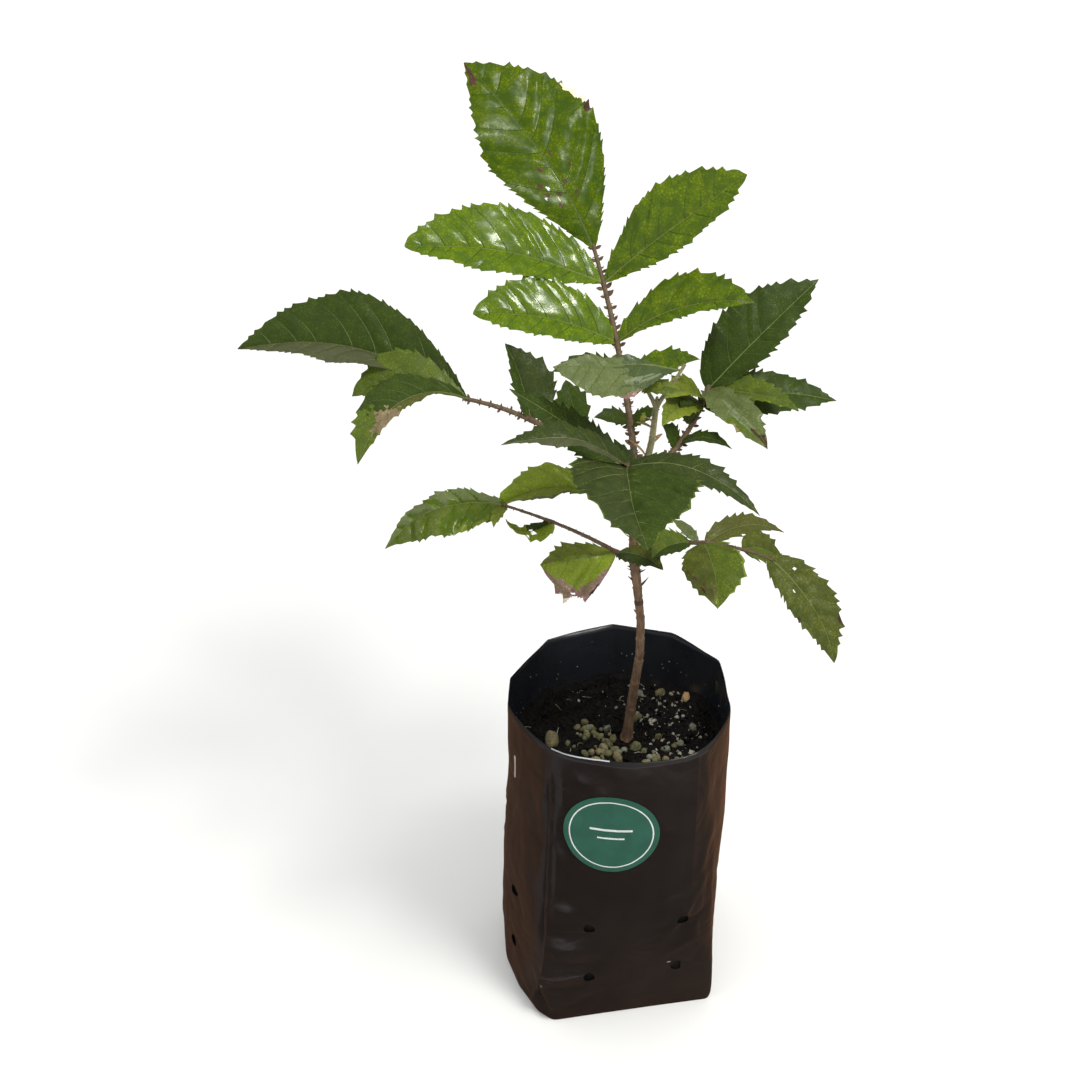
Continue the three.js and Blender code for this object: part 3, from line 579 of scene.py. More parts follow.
# Each frond: its foot on the stem, its stalk, its leaflets by the same rule as the solids, and their looks.
# A leaflet: place on the stalk, heading and rise, length, half widths, bow and sweep, heading and rise of
# its face, fold, and for some where it is widest and how full its neck is.
# A patch: place along and across, length and width in millimetres, and its tone, or hole.
fronds = {
    "frond_back": {
        "foot": 309, "length": 128, "heading": (100, 110), "rise": (58, 40), "radius": (1.9, 1.0),
        "wings": 1.0, "slot": "bright_leaf",
        "leaflets": [
            [1, [146, 46], 112, [25, 34], [15, 20], [-75, 42], 6, 0.54, 0.9],
            [0.84, [-173, 15], 101, [14.5, 24], [20, 20], [-80, 60], 20, 0.52, 0.7],
            [0.84, [2, 40], 89, [22, 13], [15, 0], [-85, 58], 18, 0.55, 0.75],
            [0.6, [-169, 18], 75, [12, 20], [25, 20], [-80, 58], 20, 0.52, 0.6],
            [0.6, [-13, 24], 73, [17, 8], [15, -50], [-85, 66], 22, 0.52, 0.65],
            [0.44, [-167, 17], 38, [7, 8], [40, 35], [-80, 60], 15],
            [0.44, [-16, 27], 42, [6, 7.5], [10, -50], [-85, 58], 12],
            [0.29, [-156, 20], 21, [4, 4.5], [30, 20], [-80, 60], 12],
            [0.28, [-22, 38], 19, [3.5, 4.5], [30, -20], [-85, 58], 12],
        ],
        "looks": [
            look("brightDeep", 0.8, vein="veinDeep", midrib="veinSoft",
                 veins=9, wave=1.8, pitch=4.6, patches=[
                (0.97, -0.5, 10, 8, "speck"), (0.985, -0.4, 8, 6, "deadBrown"),
                (0.61, 1.03, 7, 3.5, "cream"), (0.53, 0.98, 2.5, 2.5, "deadBrown"),
                (0.42, -0.25, 1.5, 1.2, "speck"), (0.36, -0.5, 1.6, 1.3, "speck"),
                (0.33, 0.1, 1.4, 1.2, "speck"), (0.29, -0.22, 1.8, 1.3, "speck"),
                (0.26, 0.2, 1.2, 1.2, "speck"), (0.24, -0.4, 1.4, 1.2, "speck"),
                (0.46, 0.1, 1.2, 1, "speck"), (0.31, -0.5, 1.2, 1.1, "speck"),
                (0.38, 0.3, 1, 1, "speck"), (0.335, -0.38, 1.5, 1.1, "hole"),
                (0.27, -0.3, 0.9, 0.8, "hole"), (0.3, -0.6, 0.8, 0.7, "hole")]),
            look("brightLit", 1.1, vein="veinDeep", veins=10, tip=0.75),
            look("bright", 0.9, vein="veinDeep", veins=8, tip=0.9),
            look("brightLit", 1.0, vein="veinDeep", veins=8, tip=0.75),
            look("bright", 1.1, vein="veinDeep", patches=[(1.0, 0, 9, 5, "youngGrey")]),
            look("dark", 0.6),
            look("bright", 0.7, vein="veinDeep"),
            look("dark shaded", 0.4),
            look("dark", 0.4, patches=[(0.5, 0.4, 2.2, 1.8, "yellowGreen")]),
        ],
    },
    "frond_left": {
        "foot": 303, "length": 104, "heading": (164, 177), "rise": (54, 10), "radius": (1.9, 1.0),
        "wings": 0.6, "slot": "dark_leaf",
        "leaflets": [
            [1, [168, 7], 117, [18, 28], [5, 55], [-82, 68], 32, 0.56, 0.95],
            [1, [-137, -6], 70, [6, 15], [85, 40], [-120, 70], 20, 0.55],
            [1, [172, -3], 58, [11, 15], [75, 30], [-100, 66], 22, 0.6, 0.9],
            [0.67, [121, 52], 39, [6, 15.5], [10, 20], [-60, 40], 25, 0.38],
            [0.39, [115, 59], 35, [8.5, 7], [10, 10], [-80, 40], 10, 0.6],
        ],
        "looks": [
            # the greyPurple half carries a painted grey sheen
            look("greyPurple dark", 0.9, vein="veinPale", veinSize=0.7, pitch=4.4,
                 teeth=0.75, veins=9, wave=1.3, patches=[
                (0.1, 0.5, 15, 9, "shaded"), (0.99, 0, 5, 2.5, "oliveLow")]),
            look("oliveLow dark", 0.8, patches=[
                (0.95, 0.2, 18, 22, "light"), (0.71, -0.3, 8, 7.5, "deadTan"),
                (1.0, 0, 2, 2, "deadBrown")]),
            look("light", 0.7, vein="veinPale"),
            look("dark shaded", 1.0, wave=1.6),
            look("dark", 0.5),
        ],
    },
    "frond_front": {
        "foot": 309, "length": 60, "heading": (-100, -103), "rise": (52, 42), "radius": (1.9, 1.1),
        "wings": 0.5, "slot": "dark_leaf",
        "leaflets": [
            [1, [-86, 7], 85, [32, 27], [35, 20], [-75, 62], 14, 0.38],
            [0.93, [-162, 21], 66, [8, 9], [60, 5], [-95, 80], 20, 0.45],
            [0.93, [-22, -10], 66, [7, 9], [75, -10], [-85, 78], 15],
            [0.6, [179, 39], 75, [9.5, 8], [15, 5], [-100, 60], 12],
            [0.35, [172, 66], 27, [5, 5], [20, 0], [-90, 40], 12],
        ],
        "looks": [
            look("dark shaded", 2.4, edge=("light", 0, 0.97), vein="veinPale", veins=7,
                 wave=2.2, veinSize=0.62, pitch=6.2, teeth=1.5, patches=[(1.0, 0, 4, 4, "fresh")]),
            # the greyPurple half carries a painted grey sheen
            look("greyPurple shaded", 0.8, wave=1.6),
            look("shaded", 0.8, patches=[(0.55, 1.0, 1.8, 1.4, "deadBrown")]),
            look("dark", 0.7),
            look("dark shaded", 0.4),
        ],
    },
    "frond_right": {
        "foot": 320, "length": 62, "heading": (35, 69), "rise": (18, 36), "radius": (1.7, 1.0),
        "wings": 0.9, "slot": "dark_leaf",
        "leaflets": [
            [1, [30, 35], 78, [21, 10], [30, 0], [-90, 46], 16, 0.45],
            [0.82, [6, -2], 68, [11.5, 11.5], [20, -25], [-85, 55], 12],
            [0.95, [-28, 2], 49, [8.5, 5], [20, -25], [-80, 66], 20, 0.4],
            [0.97, [-59, -8], 52, [6.5, 16], [55, -10], [-70, 62], 22, 0.5],
            [0.85, [-135, 24], 34, [5, 9], [55, 30], [-100, 60], 25, 0.45],
            [0.82, [-125, 9], 38, [6.5, 7.5], [30, 35], [-95, 55], 18],
            [0.65, [-143, 58], 18, [5, 5], [20, 20], [-90, 50], 10],
            [0.42, [-32, 13], 30, [4, 3.5], [60, -30], [-85, 75], 15],
            [0.4, [-141, 57], 19, [4, 4.5], [15, 30], [-90, 55], 10],
        ],
        "looks": [
            look("dark", 0.7, vein="veinGreen"),
            look("dark", 0.7, vein="veinGreen", patches=[(1.0, 0, 4, 3, "fresh")]),
            look("light", 0.7, edge=("yellowGreen", 1, 0.93)),
            # the bloom patches on this leaflet are painted sheen
            look("waxy", 1.4, wave=2.2, patches=[
                (0.78, 0.75, 10, 5, "light"), (0.5, 0.32, 9, 1.1, "bloom"), (0.66, 0.5, 8, 0.9, "bloom"),
                (0.72, 0.2, 7, 1.0, "bloom"), (0.99, 0, 7, 6, "deadBrown"),
                (0.86, 0.3, 5, 2, "deadBrown"), (0.75, 1.05, 5, 2, "deadTan")]),
            look("yellowGreen fresh", 0.6),
            look("yellowGreen fresh", 0.5),
            look("dark", 0.4),
            look("dark shaded", 0.5),
            look("dark", 0.4),
        ],
    },
    "frond_young_left": {
        "foot": 362, "length": 25, "heading": (-148, -148), "rise": (66, 56), "radius": (1.1, 0.7),
        "wings": 0.0, "slot": "pale_leaf",
        "leaflets": [
            [0.72, [-4, -8], 18, [3.5, 4.5], [10, 0], [-90, 60], 10],
            [0.62, [-64, 26], 20, [3.5, 3.5], [10, 20], [-90, 50], 10],
        ],
        "looks": [
            look("fresh light", 0.3),
            look("fresh", 0.3),
        ],
    },
    "frond_young_right": {
        "foot": 362, "length": 26, "heading": (-20, 40), "rise": (65, 50), "radius": (1.1, 0.7),
        "wings": 0.0, "slot": "pale_leaf",
        "leaflets": [
            [1, [-159, 13], 67, [19, 5], [30, -5], [-100, 60], 8, 0.62, 0.9],
        ],
        "looks": [
            # the bloom patches on this leaflet are painted sheen
            # the groove tone on this leaflet is painted shade beside the side veins
            look("youngGrey", 1.3, groove="waxy", veins=9, wave=3.0, pitch=4.0, teeth=0.6, patches=[
                (0.2, 0, 20, 30, "youngDark"), (0.4, -0.55, 9, 1.3, "bloom"),
                (0.3, -0.7, 7, 1.2, "bloom"), (0.48, -1.03, 6, 3, "deadPurple"),
                (0.42, -1.05, 3, 1.5, "deadBrown")]),
        ],
    },
    "frond_low_left": {
        "foot": 268, "length": 92, "heading": (-150, -158), "rise": (45, 30), "radius": (1.2, 0.6),
        "wings": 0.2, "slot": "dark_leaf",
        "leaflets": [
            [1, [-159, -9], 62, [16.5, 7], [55, 50], [-95, 62], 10, 0.45],
            [0.97, [-107, 2], 20, [2.5, 2.5], [10, 40], [-90, 50], 10],
            [0.66, [-146, 24], 29, [7, 3], [-80, -40], [-90, 60], 30, 0.3],
            [0.16, [-168, -3], 39, [22, 9.5], [12, 0], [-90, 45], -24, 0.56, 0.6],
            [0.15, [-55, 16], 38, [6.5, 6.5], [25, -25], [-85, 65], 12],
        ],
        "looks": [
            # the groove tone on this leaflet is painted shade beside the side veins
            look("satin youngGrey", 2.6, groove="youngGloss", vein="veinDeep",
                 wave=3.0, pitch=4.0, teeth=0.6, patches=[
                (0.3, -0.7, 19, 6.5, "youngGloss"), (0.22, -0.95, 4, 2, "fresh"),
                (0.4, -0.95, 5, 2, "fresh"), (0.12, -0.8, 3, 2, "fresh"), (1.0, 0, 4, 3, "waxy")]),
            look("fresh", 0.3),
            look("limeGreen yellowGreen", 1.2, wave=3.6, patches=[
                (0.25, 0.6, 6, 2, "dark"), (0.35, -0.3, 1.6, 1.3, "hole"), (0.5, -0.6, 1.4, 1, "hole"),
                (0.95, 0, 7, 5, "fresh")]),
            look("limeGreen yellowGreen", 1.4, wave=3.4, teeth=1.3, patches=[
                (0.55, -0.6, 12, 8, "limeGreen"), (0.42, -1.02, 13, 8, "deadPurple"),
                (0.76, -1.0, 9, 10, "deadPurple"), (0.6, -1.15, 4, 7, "hole"),
                (1.0, 0, 2, 2, "deadBrown"), (0.4, -0.75, 5, 2, "deadTan"),
                (0.78, -0.78, 4, 2, "deadTan"), (0.33, -1.0, 3, 2, "deadBrown"),
                (0.72, -1.05, 2.5, 3, "cream")]),
            look("oliveGreen dark", 0.6),
        ],
    },
    "frond_mid_left": {
        "foot": 296, "length": 29, "heading": (-169, -169), "rise": (52, 40), "radius": (1.2, 0.8),
        "wings": 0.3, "slot": "pale_leaf",
        "leaflets": [
            [1, [-167, -2], 53, [8, 12], [30, 30], [-95, 68], 28, 0.5],
        ],
        "looks": [
            look("yellowGreen limeGreen", 1.2, edge=("youngGrey", -1, 0.84), vein="veinPale",
                 wave=2.4, teeth=0.8),
        ],
    },
    "frond_low_right": {
        "foot": 276, "length": 75, "heading": (-15, -32), "rise": (28, -6), "radius": (1.2, 0.65),
        "wings": 0.2, "slot": "dark_leaf",
        "leaflets": [
            [1, [-46, -41], 60, [12.5, 11], [30, -35], [-70, 50], 10, 0.45],
            [0.78, [27, -32], 29, [9, 7], [20, -50], [-85, 60], 10],
            [0.5, [-83, -15], 42, [15, 15], [40, -20], [-90, 48], 12, 0.45],
            [0.52, [26, -9], 46, [6.5, 5.5], [45, -40], [-85, 70], 15],
            [0.46, [140, 22], 18, [3, 2.5], [10, 40], [-85, 60], 10],
            [0.41, [-131, 11], 31, [5, 8], [20, 35], [-90, 58], 12],
        ],
        "looks": [
            look("oliveGreen", 1.0, wave=1.8, pitch=4.6, patches=[
                (0.2, -0.45, 0.9, 0.8, "hole"), (0.33, 0.35, 0.8, 0.6, "hole"),
                (0.55, 0.97, 2, 1, "deadBrown"), (0.7, -0.97, 2.4, 1, "deadBrown")]),
            look("oliveGreen light", 0.7),
            look("light oliveGreen", 0.9, wave=1.6, edge=("yellowGreen", -1, 0.93), patches=[
                (0.8, 0.3, 1.6, 1.3, "speck"), (0.72, 0.55, 1.3, 1.1, "speck"),
                (0.62, 0.75, 1.4, 1, "speck"), (0.86, 0.4, 1.2, 1, "speck"),
                (0.78, 0.75, 2.2, 1, "deadBrown"), (0.97, 0, 4, 4, "yellowGreen"),
                (0.5, 0.9, 1.2, 0.8, "speck"), (0.75, 0.1, 0.9, 0.9, "speck")]),
            look("oliveLow", 0.8),
            look("waxy", 0.3),
            look("dark light", 0.6),
        ],
    },
}

stalkLook = {
    "steps": 12, "finer": 5, "sides": 10, "rough": 0.05, "footSwell": 0.28, "jointSwell": 0.22,
    "bractSpacing": 5.0, "bractLength": 3.6, "bractWidth": 2.0, "bractUp": (0.0, -0.75, 0.66), "teeth": 2,
}


def stalkLine(frond):
    points = [stemAt(frond["foot"])[0][0]]
    for i in range(stalkLook["steps"]):
        share = (i + 0.5) / stalkLook["steps"]
        heading, rise = (a + (b - a) * share for a, b in (frond["heading"], frond["rise"]))
        points.append(points[-1] + towards(heading, rise) * frond["length"] / stalkLook["steps"])
    return np.array(points)


def pointAlong(points, share):
    place = share * (len(points) - 1)
    before = min(int(place), len(points) - 2)
    return points[before] + (points[before + 1] - points[before]) * (place - before)


def pileBract(heap, root, ahead, up, length, width, slot):
    # a small stiff bract with a point, thin and closed
    s = np.linspace(0, 1, 5)
    outline = width / 2 * np.sin(math.pi * np.minimum(1, s * 0.86 + 0.12)) ** 0.8
    across = unit(np.cross(ahead, up)) * outline[:, None]
    middle = root + ahead * (s * length)[:, None] + up * (0.35 * length * s ** 2)[:, None]
    top = np.stack([middle - across, middle + up * 0.25, middle + across], 1).reshape(-1, 3)
    quads = gridQuads(5, 3)
    slots = np.full(len(quads), slot)
    pileShell(heap, top, top - up * 0.3, quads, slots, slots)


def pileBracts(heap, frond, points, radii, random):
    ahead = unit(np.gradient(points, axis=0))
    last = len(points) - 1
    place = 0.12 * frond["length"]
    while place < 0.985 * frond["length"]:
        k = int(place / frond["length"] * last)
        course = ahead[k]
        up = np.array(stalkLook["bractUp"])
        up = unit(up - course * up.dot(course))
        across = np.cross(course, up)
        for sign in (-1, 1):
            size = frond["wings"] * random.uniform(0.65, 1.15)
            out = unit(across * sign + course * random.uniform(0.1, 0.7) + up * random.uniform(-0.2, 0.35))
            pileBract(heap, points[k] + out * radii[k] * 0.6, out, up, stalkLook["bractLength"] * size,
                      stalkLook["bractWidth"] * size, 1)
            for extra in range(stalkLook["teeth"]):  # tiny teeth beside it
                near = points[min(k + extra * 2 + 1, last)]
                prick = unit(out + course * random.uniform(-0.5, 0.5))
                tip = near + prick * (radii[k] + 1.4 * size)
                base = near + prick * radii[k] * 0.5
                line = np.array([base, (base + tip) / 2, tip])
                pileLine(heap, line, [0.45 * size, 0.3 * size, 0.05], 4, 1)
        place += stalkLook["bractSpacing"] * random.uniform(0.8, 1.2)


def pileStalk(heap, frond, random):
    coarse = stalkLine(frond)
    s = np.linspace(0, 1, stalkLook["steps"] * stalkLook["finer"] + 1)
    points = np.array([pointAlong(coarse, share) for share in s])
    for _ in range(6):  # rounds the joints of the line
        points[1:-1] = (points[:-2] + 2 * points[1:-1] + points[2:]) / 4
    radii = frond["radius"][0] + (frond["radius"][1] - frond["radius"][0]) * s
    radii = radii * (1 + stalkLook["footSwell"] * np.exp(-(s * frond["length"] / 4) ** 2))
    for place in sorted({leaflet[0] for leaflet in frond["leaflets"]}):
        radii = radii * (1 + stalkLook["jointSwell"] * np.exp(-((s - place) * frond["length"] / 2.2) ** 2))
    wobble = stalkLook["rough"] * random.standard_normal((len(s), stalkLook["sides"]))
    pileTube(heap, points, tubeRings(points, radii, stalkLook["sides"], wobble))
    if frond["wings"]:
        pileBracts(heap, frond, points, radii, random)


# Skins of the woody pieces: colour, dark colour, roughness, scale of fibres and of blotches, relief
woodySkins = {name: makeGrained(name, *look) for name, look in {
    "bark": ((148, 118, 90), (86, 62, 46), 0.85, 1100, 140, 0.8),
    "barkScar": ((104, 80, 62), (66, 48, 38), 0.9, 1300, 300, 0.8),
    "youngBark": ((140, 138, 98), (104, 98, 64), 0.75, 1200, 240, 0.4),
    "stalkSkin": ((116, 98, 70), (76, 56, 40), 0.6, 1000, 260, 0.4),
    "stalkWings": ((112, 92, 62), (74, 50, 38), 0.65, 1200, 400, 0.4),
    "dryBract": ((176, 150, 108), (120, 88, 60), 0.8, 1500, 500, 0.5),
    "softHair": ((214, 208, 184), (180, 170, 140), 0.7, 500, 200, 0.1),
}.items()}


def buildFronds():
    random = np.random.default_rng(5)
    for number, (node, frond) in enumerate(fronds.items()):
        first, *words = node.split("_")
        name = first + "".join(word.capitalize() for word in words)
        slot, coarse = frond["slot"], stalkLine(frond)
        leaves, veins, stalk = newHeap(), newHeap(), newHeap()
        lastRoot = 1 - 3 / frond["length"]
        for k, (plan, look) in enumerate(zip(frond["leaflets"], frond["looks"])):
            leaf = readLeaf(pointAlong(coarse, min(plan[0], lastRoot)), plan, look, 100 * number + k)
            pileLeaf(leaves, leaf, look)
            pileVeins(veins, leaf, look)
        pileStalk(stalk, frond, random)
        makePiece(name + "Leaves", leaves, leafMaterials, (node,))
        makePiece(name + "Veins", veins, leafMaterials, (node,))
        skin = "youngBark" if "young" in node else "stalkSkin"
        makePiece(name + "Stalk", stalk, [woodySkins[skin], woodySkins["stalkWings"]], (node,))
    print("fronds done")


buildFronds()


# Stem: tapering, with leaf scars, ridged bark, dry hooks and a hairy young top
stemLook = {
    "ringStep": 0.7, "sides": 28, "flareLobes": 5, "flareHeight": 14, "flare": 0.7, "rough": 0.05,
    "furrows": 26, "furrowDepth": 0.13, "furrowWidth": 0.13,
    "scars": (172, 190, 205, 219, 233, 243, 252, 262), "scarRidge": 0.28, "scarGroove": 0.22,
    "darkScar": 243, "youngFrom": 322,
    # hooks: height, heading, length, radius
    "hooks": ((252, 20, 4.5, 0.9), (256, 200, 3.6, 0.9), (262, 335, 3.2, 0.8), (234, 165, 2.2, 0.9),
              (206, 30, 1.8, 0.9)),
    "prickles": 34, "pricklesFrom": 262, "pricklesTo": 284, "higherPrickles": 26, "higherTo": 330,
    "hairs": 900, "hairsFrom": 335, "hairsTo": 366,
    # dried bracts: height, heading, rise, length
    "bracts": ((352, -130, 60, 11), (349, 200, 50, 9), (331, -170, 70, 13), (340, 20, 55, 6)),
    "bractWidth": 3.0,
}


def barkRelief(random, heights, turns):
    relief = np.zeros_like(heights)
    for _ in range(stemLook["furrows"]):  # long furrows that wander round the stem
        where, wander = random.uniform(0, fullTurn), random.uniform(0, fullTurn)
        path = where + 0.5 * np.sin(heights / random.uniform(9, 26) + wander)
        away = np.abs((turns - path + math.pi) % fullTurn - math.pi)
        run = 0.5 + 0.5 * np.sin(heights / random.uniform(6, 18) + wander * 3)
        relief -= stemLook["furrowDepth"] * run * np.exp(-(away / stemLook["furrowWidth"]) ** 2)
    relief += stemLook["rough"] * random.standard_normal(heights.shape)
    for scar in stemLook["scars"]:  # a ridge with a groove above it
        near = heights - scar + random.uniform(-0.5, 0.5) * np.cos(turns + random.uniform(0, 6))
        relief += stemLook["scarRidge"] * np.exp(-(near / 0.8) ** 2)
        relief -= stemLook["scarGroove"] * np.exp(-((near - 1.6) / 0.9) ** 2)
    flare = np.maximum(0, 1 - (heights - stemLine[0, 0]) / stemLook["flareHeight"]) ** 2
    lobes = np.maximum(0, np.cos(stemLook["flareLobes"] * turns / 2 + 0.6)) ** 2
    relief += stemLook["flare"] * flare * lobes
    return relief * (smoothStep(stemLook["youngFrom"] + 12 - heights, 0, 24) * 0.8 + 0.2)


def pileBark(heap, random):
    foot, tip, sides = stemLine[0, 0], stemLine[-1, 0] + 2, stemLook["sides"]
    heights = np.arange(foot, tip, stemLook["ringStep"])
    points, radii = stemAt(np.minimum(heights, stemLine[-1, 0]))
    points[:, 2] = heights
    for _ in range(8):  # rounds the joints of the line
        points[1:-1, :2] = (points[:-2, :2] + 2 * points[1:-1, :2] + points[2:, :2]) / 4
    turns = np.linspace(0, fullTurn, sides, endpoint=False)
    relief = barkRelief(random, *np.meshgrid(heights, turns, indexing="ij"))
    radii = radii * (1 - 0.5 * smoothStep(heights, tip - 3, tip))
    rings = tubeRings(points, radii * 0.97, sides, relief)
    rings[0, :, 2] = foot
    slots = np.where(heights[:-1] > stemLook["youngFrom"], 2, 0)
    slots = np.where(np.abs(heights[:-1] - stemLook["darkScar"]) < 1.3, 1, slots)
    pile(heap, rings, gridQuads(len(heights), sides, closed=True), np.repeat(slots, sides))
    pileEnd(heap, rings[0], rings[0].mean(0), 1, 1)
    pileEnd(heap, rings[-1], rings[-1].mean(0), 2, -1)


def pilePrickles(heap, random):
    # dry hooks left by old stalks, and prickles round the lowest fronds' feet and above them
    low, high, top = stemLook["pricklesFrom"], stemLook["pricklesTo"], stemLook["higherTo"]
    uniform = random.uniform
    prickles = [(uniform(low, high), uniform(0, 360), uniform(1.2, 2.6), uniform(0.4, 0.7))
                for _ in range(stemLook["prickles"])]
    prickles += [(uniform(high, top), uniform(0, 360), uniform(0.8, 1.8), 0.4)
                 for _ in range(stemLook["higherPrickles"])]
    s = np.linspace(0, 1, 6)[:, None]
    for height, heading, length, radius in (*stemLook["hooks"], *prickles):
        (place,), (around,) = stemAt(height)
        out = towards(heading, random.uniform(10, 40))
        line = place + out * around * 0.6 + out * s * (length + around * 0.4)
        line[:, 2] += s[:, 0] ** 2 * length * 0.35
        pileLine(heap, line, radius * (1 - 0.85 * s[:, 0]), 6, 1)


def pileHairs(heap, random, middles, thickness, count):
    ahead = unit(np.gradient(middles, axis=0))
    for _ in range(count):
        k = random.integers(0, len(middles) - 1)
        share = random.uniform()
        place = middles[k] * (1 - share) + middles[k + 1] * share
        out = random.standard_normal(3)
        out = unit(out - ahead[k] * out.dot(ahead[k]))
        course = unit(out + ahead[k] * random.uniform(-0.2, 0.9))
        base = place + out * thickness[k] * 0.9
        tip = base + course * random.uniform(0.5, 1.3)
        across = unit(np.cross(course, ahead[k])) * 0.05
        over = np.cross(course, across)
        pile(heap, [base + across, base - across * 0.5 + over, base - across * 0.5 - over, tip],
             [[0, 1, 3], [1, 2, 3], [2, 0, 3], [0, 2, 1]])


def buildStem():
    random = np.random.default_rng(21)
    heap = newHeap()
    pileBark(heap, random)
    pilePrickles(heap, random)
    skins = [woodySkins[name] for name in ("bark", "barkScar", "youngBark")]
    makePiece("stemBark", heap, skins, ("stem",), sharp=60)

    heap = newHeap()  # soft hairs on the young top and the young stalks
    top = stemAt(np.linspace(stemLook["hairsFrom"], stemLook["hairsTo"], 40))
    pileHairs(heap, random, *top, int(stemLook["hairs"] * 0.65))
    for name in ("frond_young_left", "frond_young_right"):
        radii = np.linspace(*fronds[name]["radius"], stalkLook["steps"] + 1)
        pileHairs(heap, random, stalkLine(fronds[name]), radii, int(stemLook["hairs"] * 0.35))
    makePiece("youngHairs", heap, [woodySkins["softHair"]])

    heap = newHeap()  # dried pale bracts beside the top
    for height, heading, rise, length in stemLook["bracts"]:
        (place,), (around,) = stemAt(height)
        out = towards(heading, rise)
        face = unit(towards(heading, rise - 90) + 0.1)
        pileBract(heap, place + out * around * 0.7, out, face, length, stemLook["bractWidth"], 0)
    makePiece("dryBracts", heap, [woodySkins["dryBract"]])
    print("stem done")


buildStem()


# Planter bag: thin film, creased and dented, with punched drain holes
bag = {
    "height": 184.0, "belly": 2.0, "tuck": 1.0, "tuckHeight": 6.0, "blend": 0.8, "film": 0.35,
    "holeRadius": 3.2, "holeHeights": (32, 69), "holeAngles": (36, 74, 126, 152, 204, 254, 306, 344),
    "holeReach": 64, "step": 1.8, "fineStep": 0.42, "heightStep": 2.4, "fineHeight": 0.5,
    "seams": (229, 234, 240, 247), "round": 14.0, "roll": 1.5, "rollHeight": 2.0, "hiddenCreases": 46,
    "underside": (0.02, 0.25, 0.5, 0.75, 0.93),  # rings that close the foot
    # rimGlintSpots and rimGlintHeight: a pale band along the top of the lip, a painted highlight where the
    # rim catches the light
    "rimHeight": 1.0, "rimGlintHeight": 0.45, "rimGlintSpots": ((245, 17, 3), (66, 5, 2), (28, 2, 2)),
    "dustScale": 28.0, "rippleScale": 45.0,
    # scuffs and painted glints: angle, height, width, tallness, lean; the last three are painted glints,
    # and the tall one at 199 is a torn edge painted pale as a highlight
    "scuffsAndGlints": (
        (284.5, 84.9, 0.4, 2.2, 20), (271.8, 34.6, 0.4, 1.7, 10), (292.6, 26, 1, 0.4, 5),
        (305, 12, 2, 0.5, 8), (310, 102, 0.35, 2.4, 0), (318, 88, 0.35, 0.9, 0), (278, 38, 0.8, 0.3, 0),
        (262, 20, 0.9, 0.3, 0), (199, 152, 0.8, 7, 0), (302, 36, 0.7, 0.35, 10),
        (233, 19, 1.5, 0.28, -18), (231.5, 22, 0.28, 1.4, 20), (237, 16, 0.9, 0.25, -10)),
}
# Corners of the bag's outline: angle and distance from the middle, at the foot and at the mouth
footCorners = np.array([[55, 64], [143, 64], [168, 63], [188, 61.5],
                        [208, 61.5], [228, 65], [237.5, 65.5], [324, 65.5]])
mouthCorners = np.array([[29, 61.1], [61, 60.7], [92, 61.4], [128, 60.4], [166, 58.9],
                         [192, 60.2], [231, 59.4], [268, 57.2], [309, 64.3], [346, 59.7]])
sticker = {
    "radius": 24.9, "angle": 264.5, "height": 137, "lift": 0.35, "thickness": 0.2, "ring": (21.3, 22.0),
    "rules": ((-11, 2.6, 22, 1.3), (-7, -2.6, 14, 1.0)),  # left, low, width, height
    "green": ((42, 98, 80), 0.38), "pale": ((226, 232, 226), 0.45),  # colour and roughness
}
# Creases in the film: angle and height at either end, width, and height (inwards when negative)
creases = [
    (231.1, 169, 233.2, 50, 0.9, 0.8), (229.5, 169, 231.5, 50, 1.4, -0.7),
    (233.2, 50, 231, 24, 1.3, 0.8), (228, 31, 240.6, 16, 3, 1.0), (236, 142, 237, 80, 4.5, 0.9),
    (241, 140, 243, 84, 4, -0.6), (313, 182, 322, 120, 4, 0.8), (323.9, 109, 322.6, 53, 2.5, 0.8),
    (247, 163, 254, 162, 1.8, -0.7), (244, 157, 252, 155, 2.2, -0.6), (246, 172, 250, 166, 3, 0.7),
    (232, 82, 247, 80, 3.5, 1.0), (233, 62, 256, 64, 3.4, -1.7), (233, 52, 258, 52, 3.0, 1.8),
    (234, 42, 256, 41, 2.6, -1.6), (232, 30, 254, 34, 2.3, 1.8), (231, 22, 250, 26, 1.9, -1.6),
    (238, 6, 256, 16, 2.6, -1.4), (237, 76, 262, 88, 5, 1.2), (233, 18, 244, 6, 2.4, 1.6),
    (304, 81, 321, 35, 1.8, 1.3), (312, 51, 315, 80, 1.8, 0.9), (306, 64, 318, 72, 2.0, -0.9),
    (296, 40, 312, 52, 2.0, 0.8), (322, 130, 314, 100, 3.0, 1.1), (318, 96, 300, 60, 2.0, 1.0),
    (226, 22, 236, 3, 2.2, -1.6), (231, 30, 225, 6, 1.8, 1.4), (318, 26, 300, 44, 1.8, -0.9),
    (214, 150, 224, 120, 5, -1.1), (222, 140, 228, 160, 3, 0.7), (210, 130, 216, 90, 4, 0.9),
    (204, 72, 214, 60, 3, -0.9), (203, 38, 216, 30, 3, -0.9), (212, 24, 226, 6, 4, 1.1),
    (217, 5, 230, 20, 3, -1.0), (258, 182, 262, 158, 7, -0.6), (279, 180, 276, 120, 8, 0.5),
    (300, 178, 296, 130, 6, -0.5), (320, 30, 324, 6, 3, 0.9), (305, 12, 320, 10, 3, -0.8),
    (270, 8, 292, 9, 3, 0.6), (258, 100, 290, 92, 9, 0.5),
]


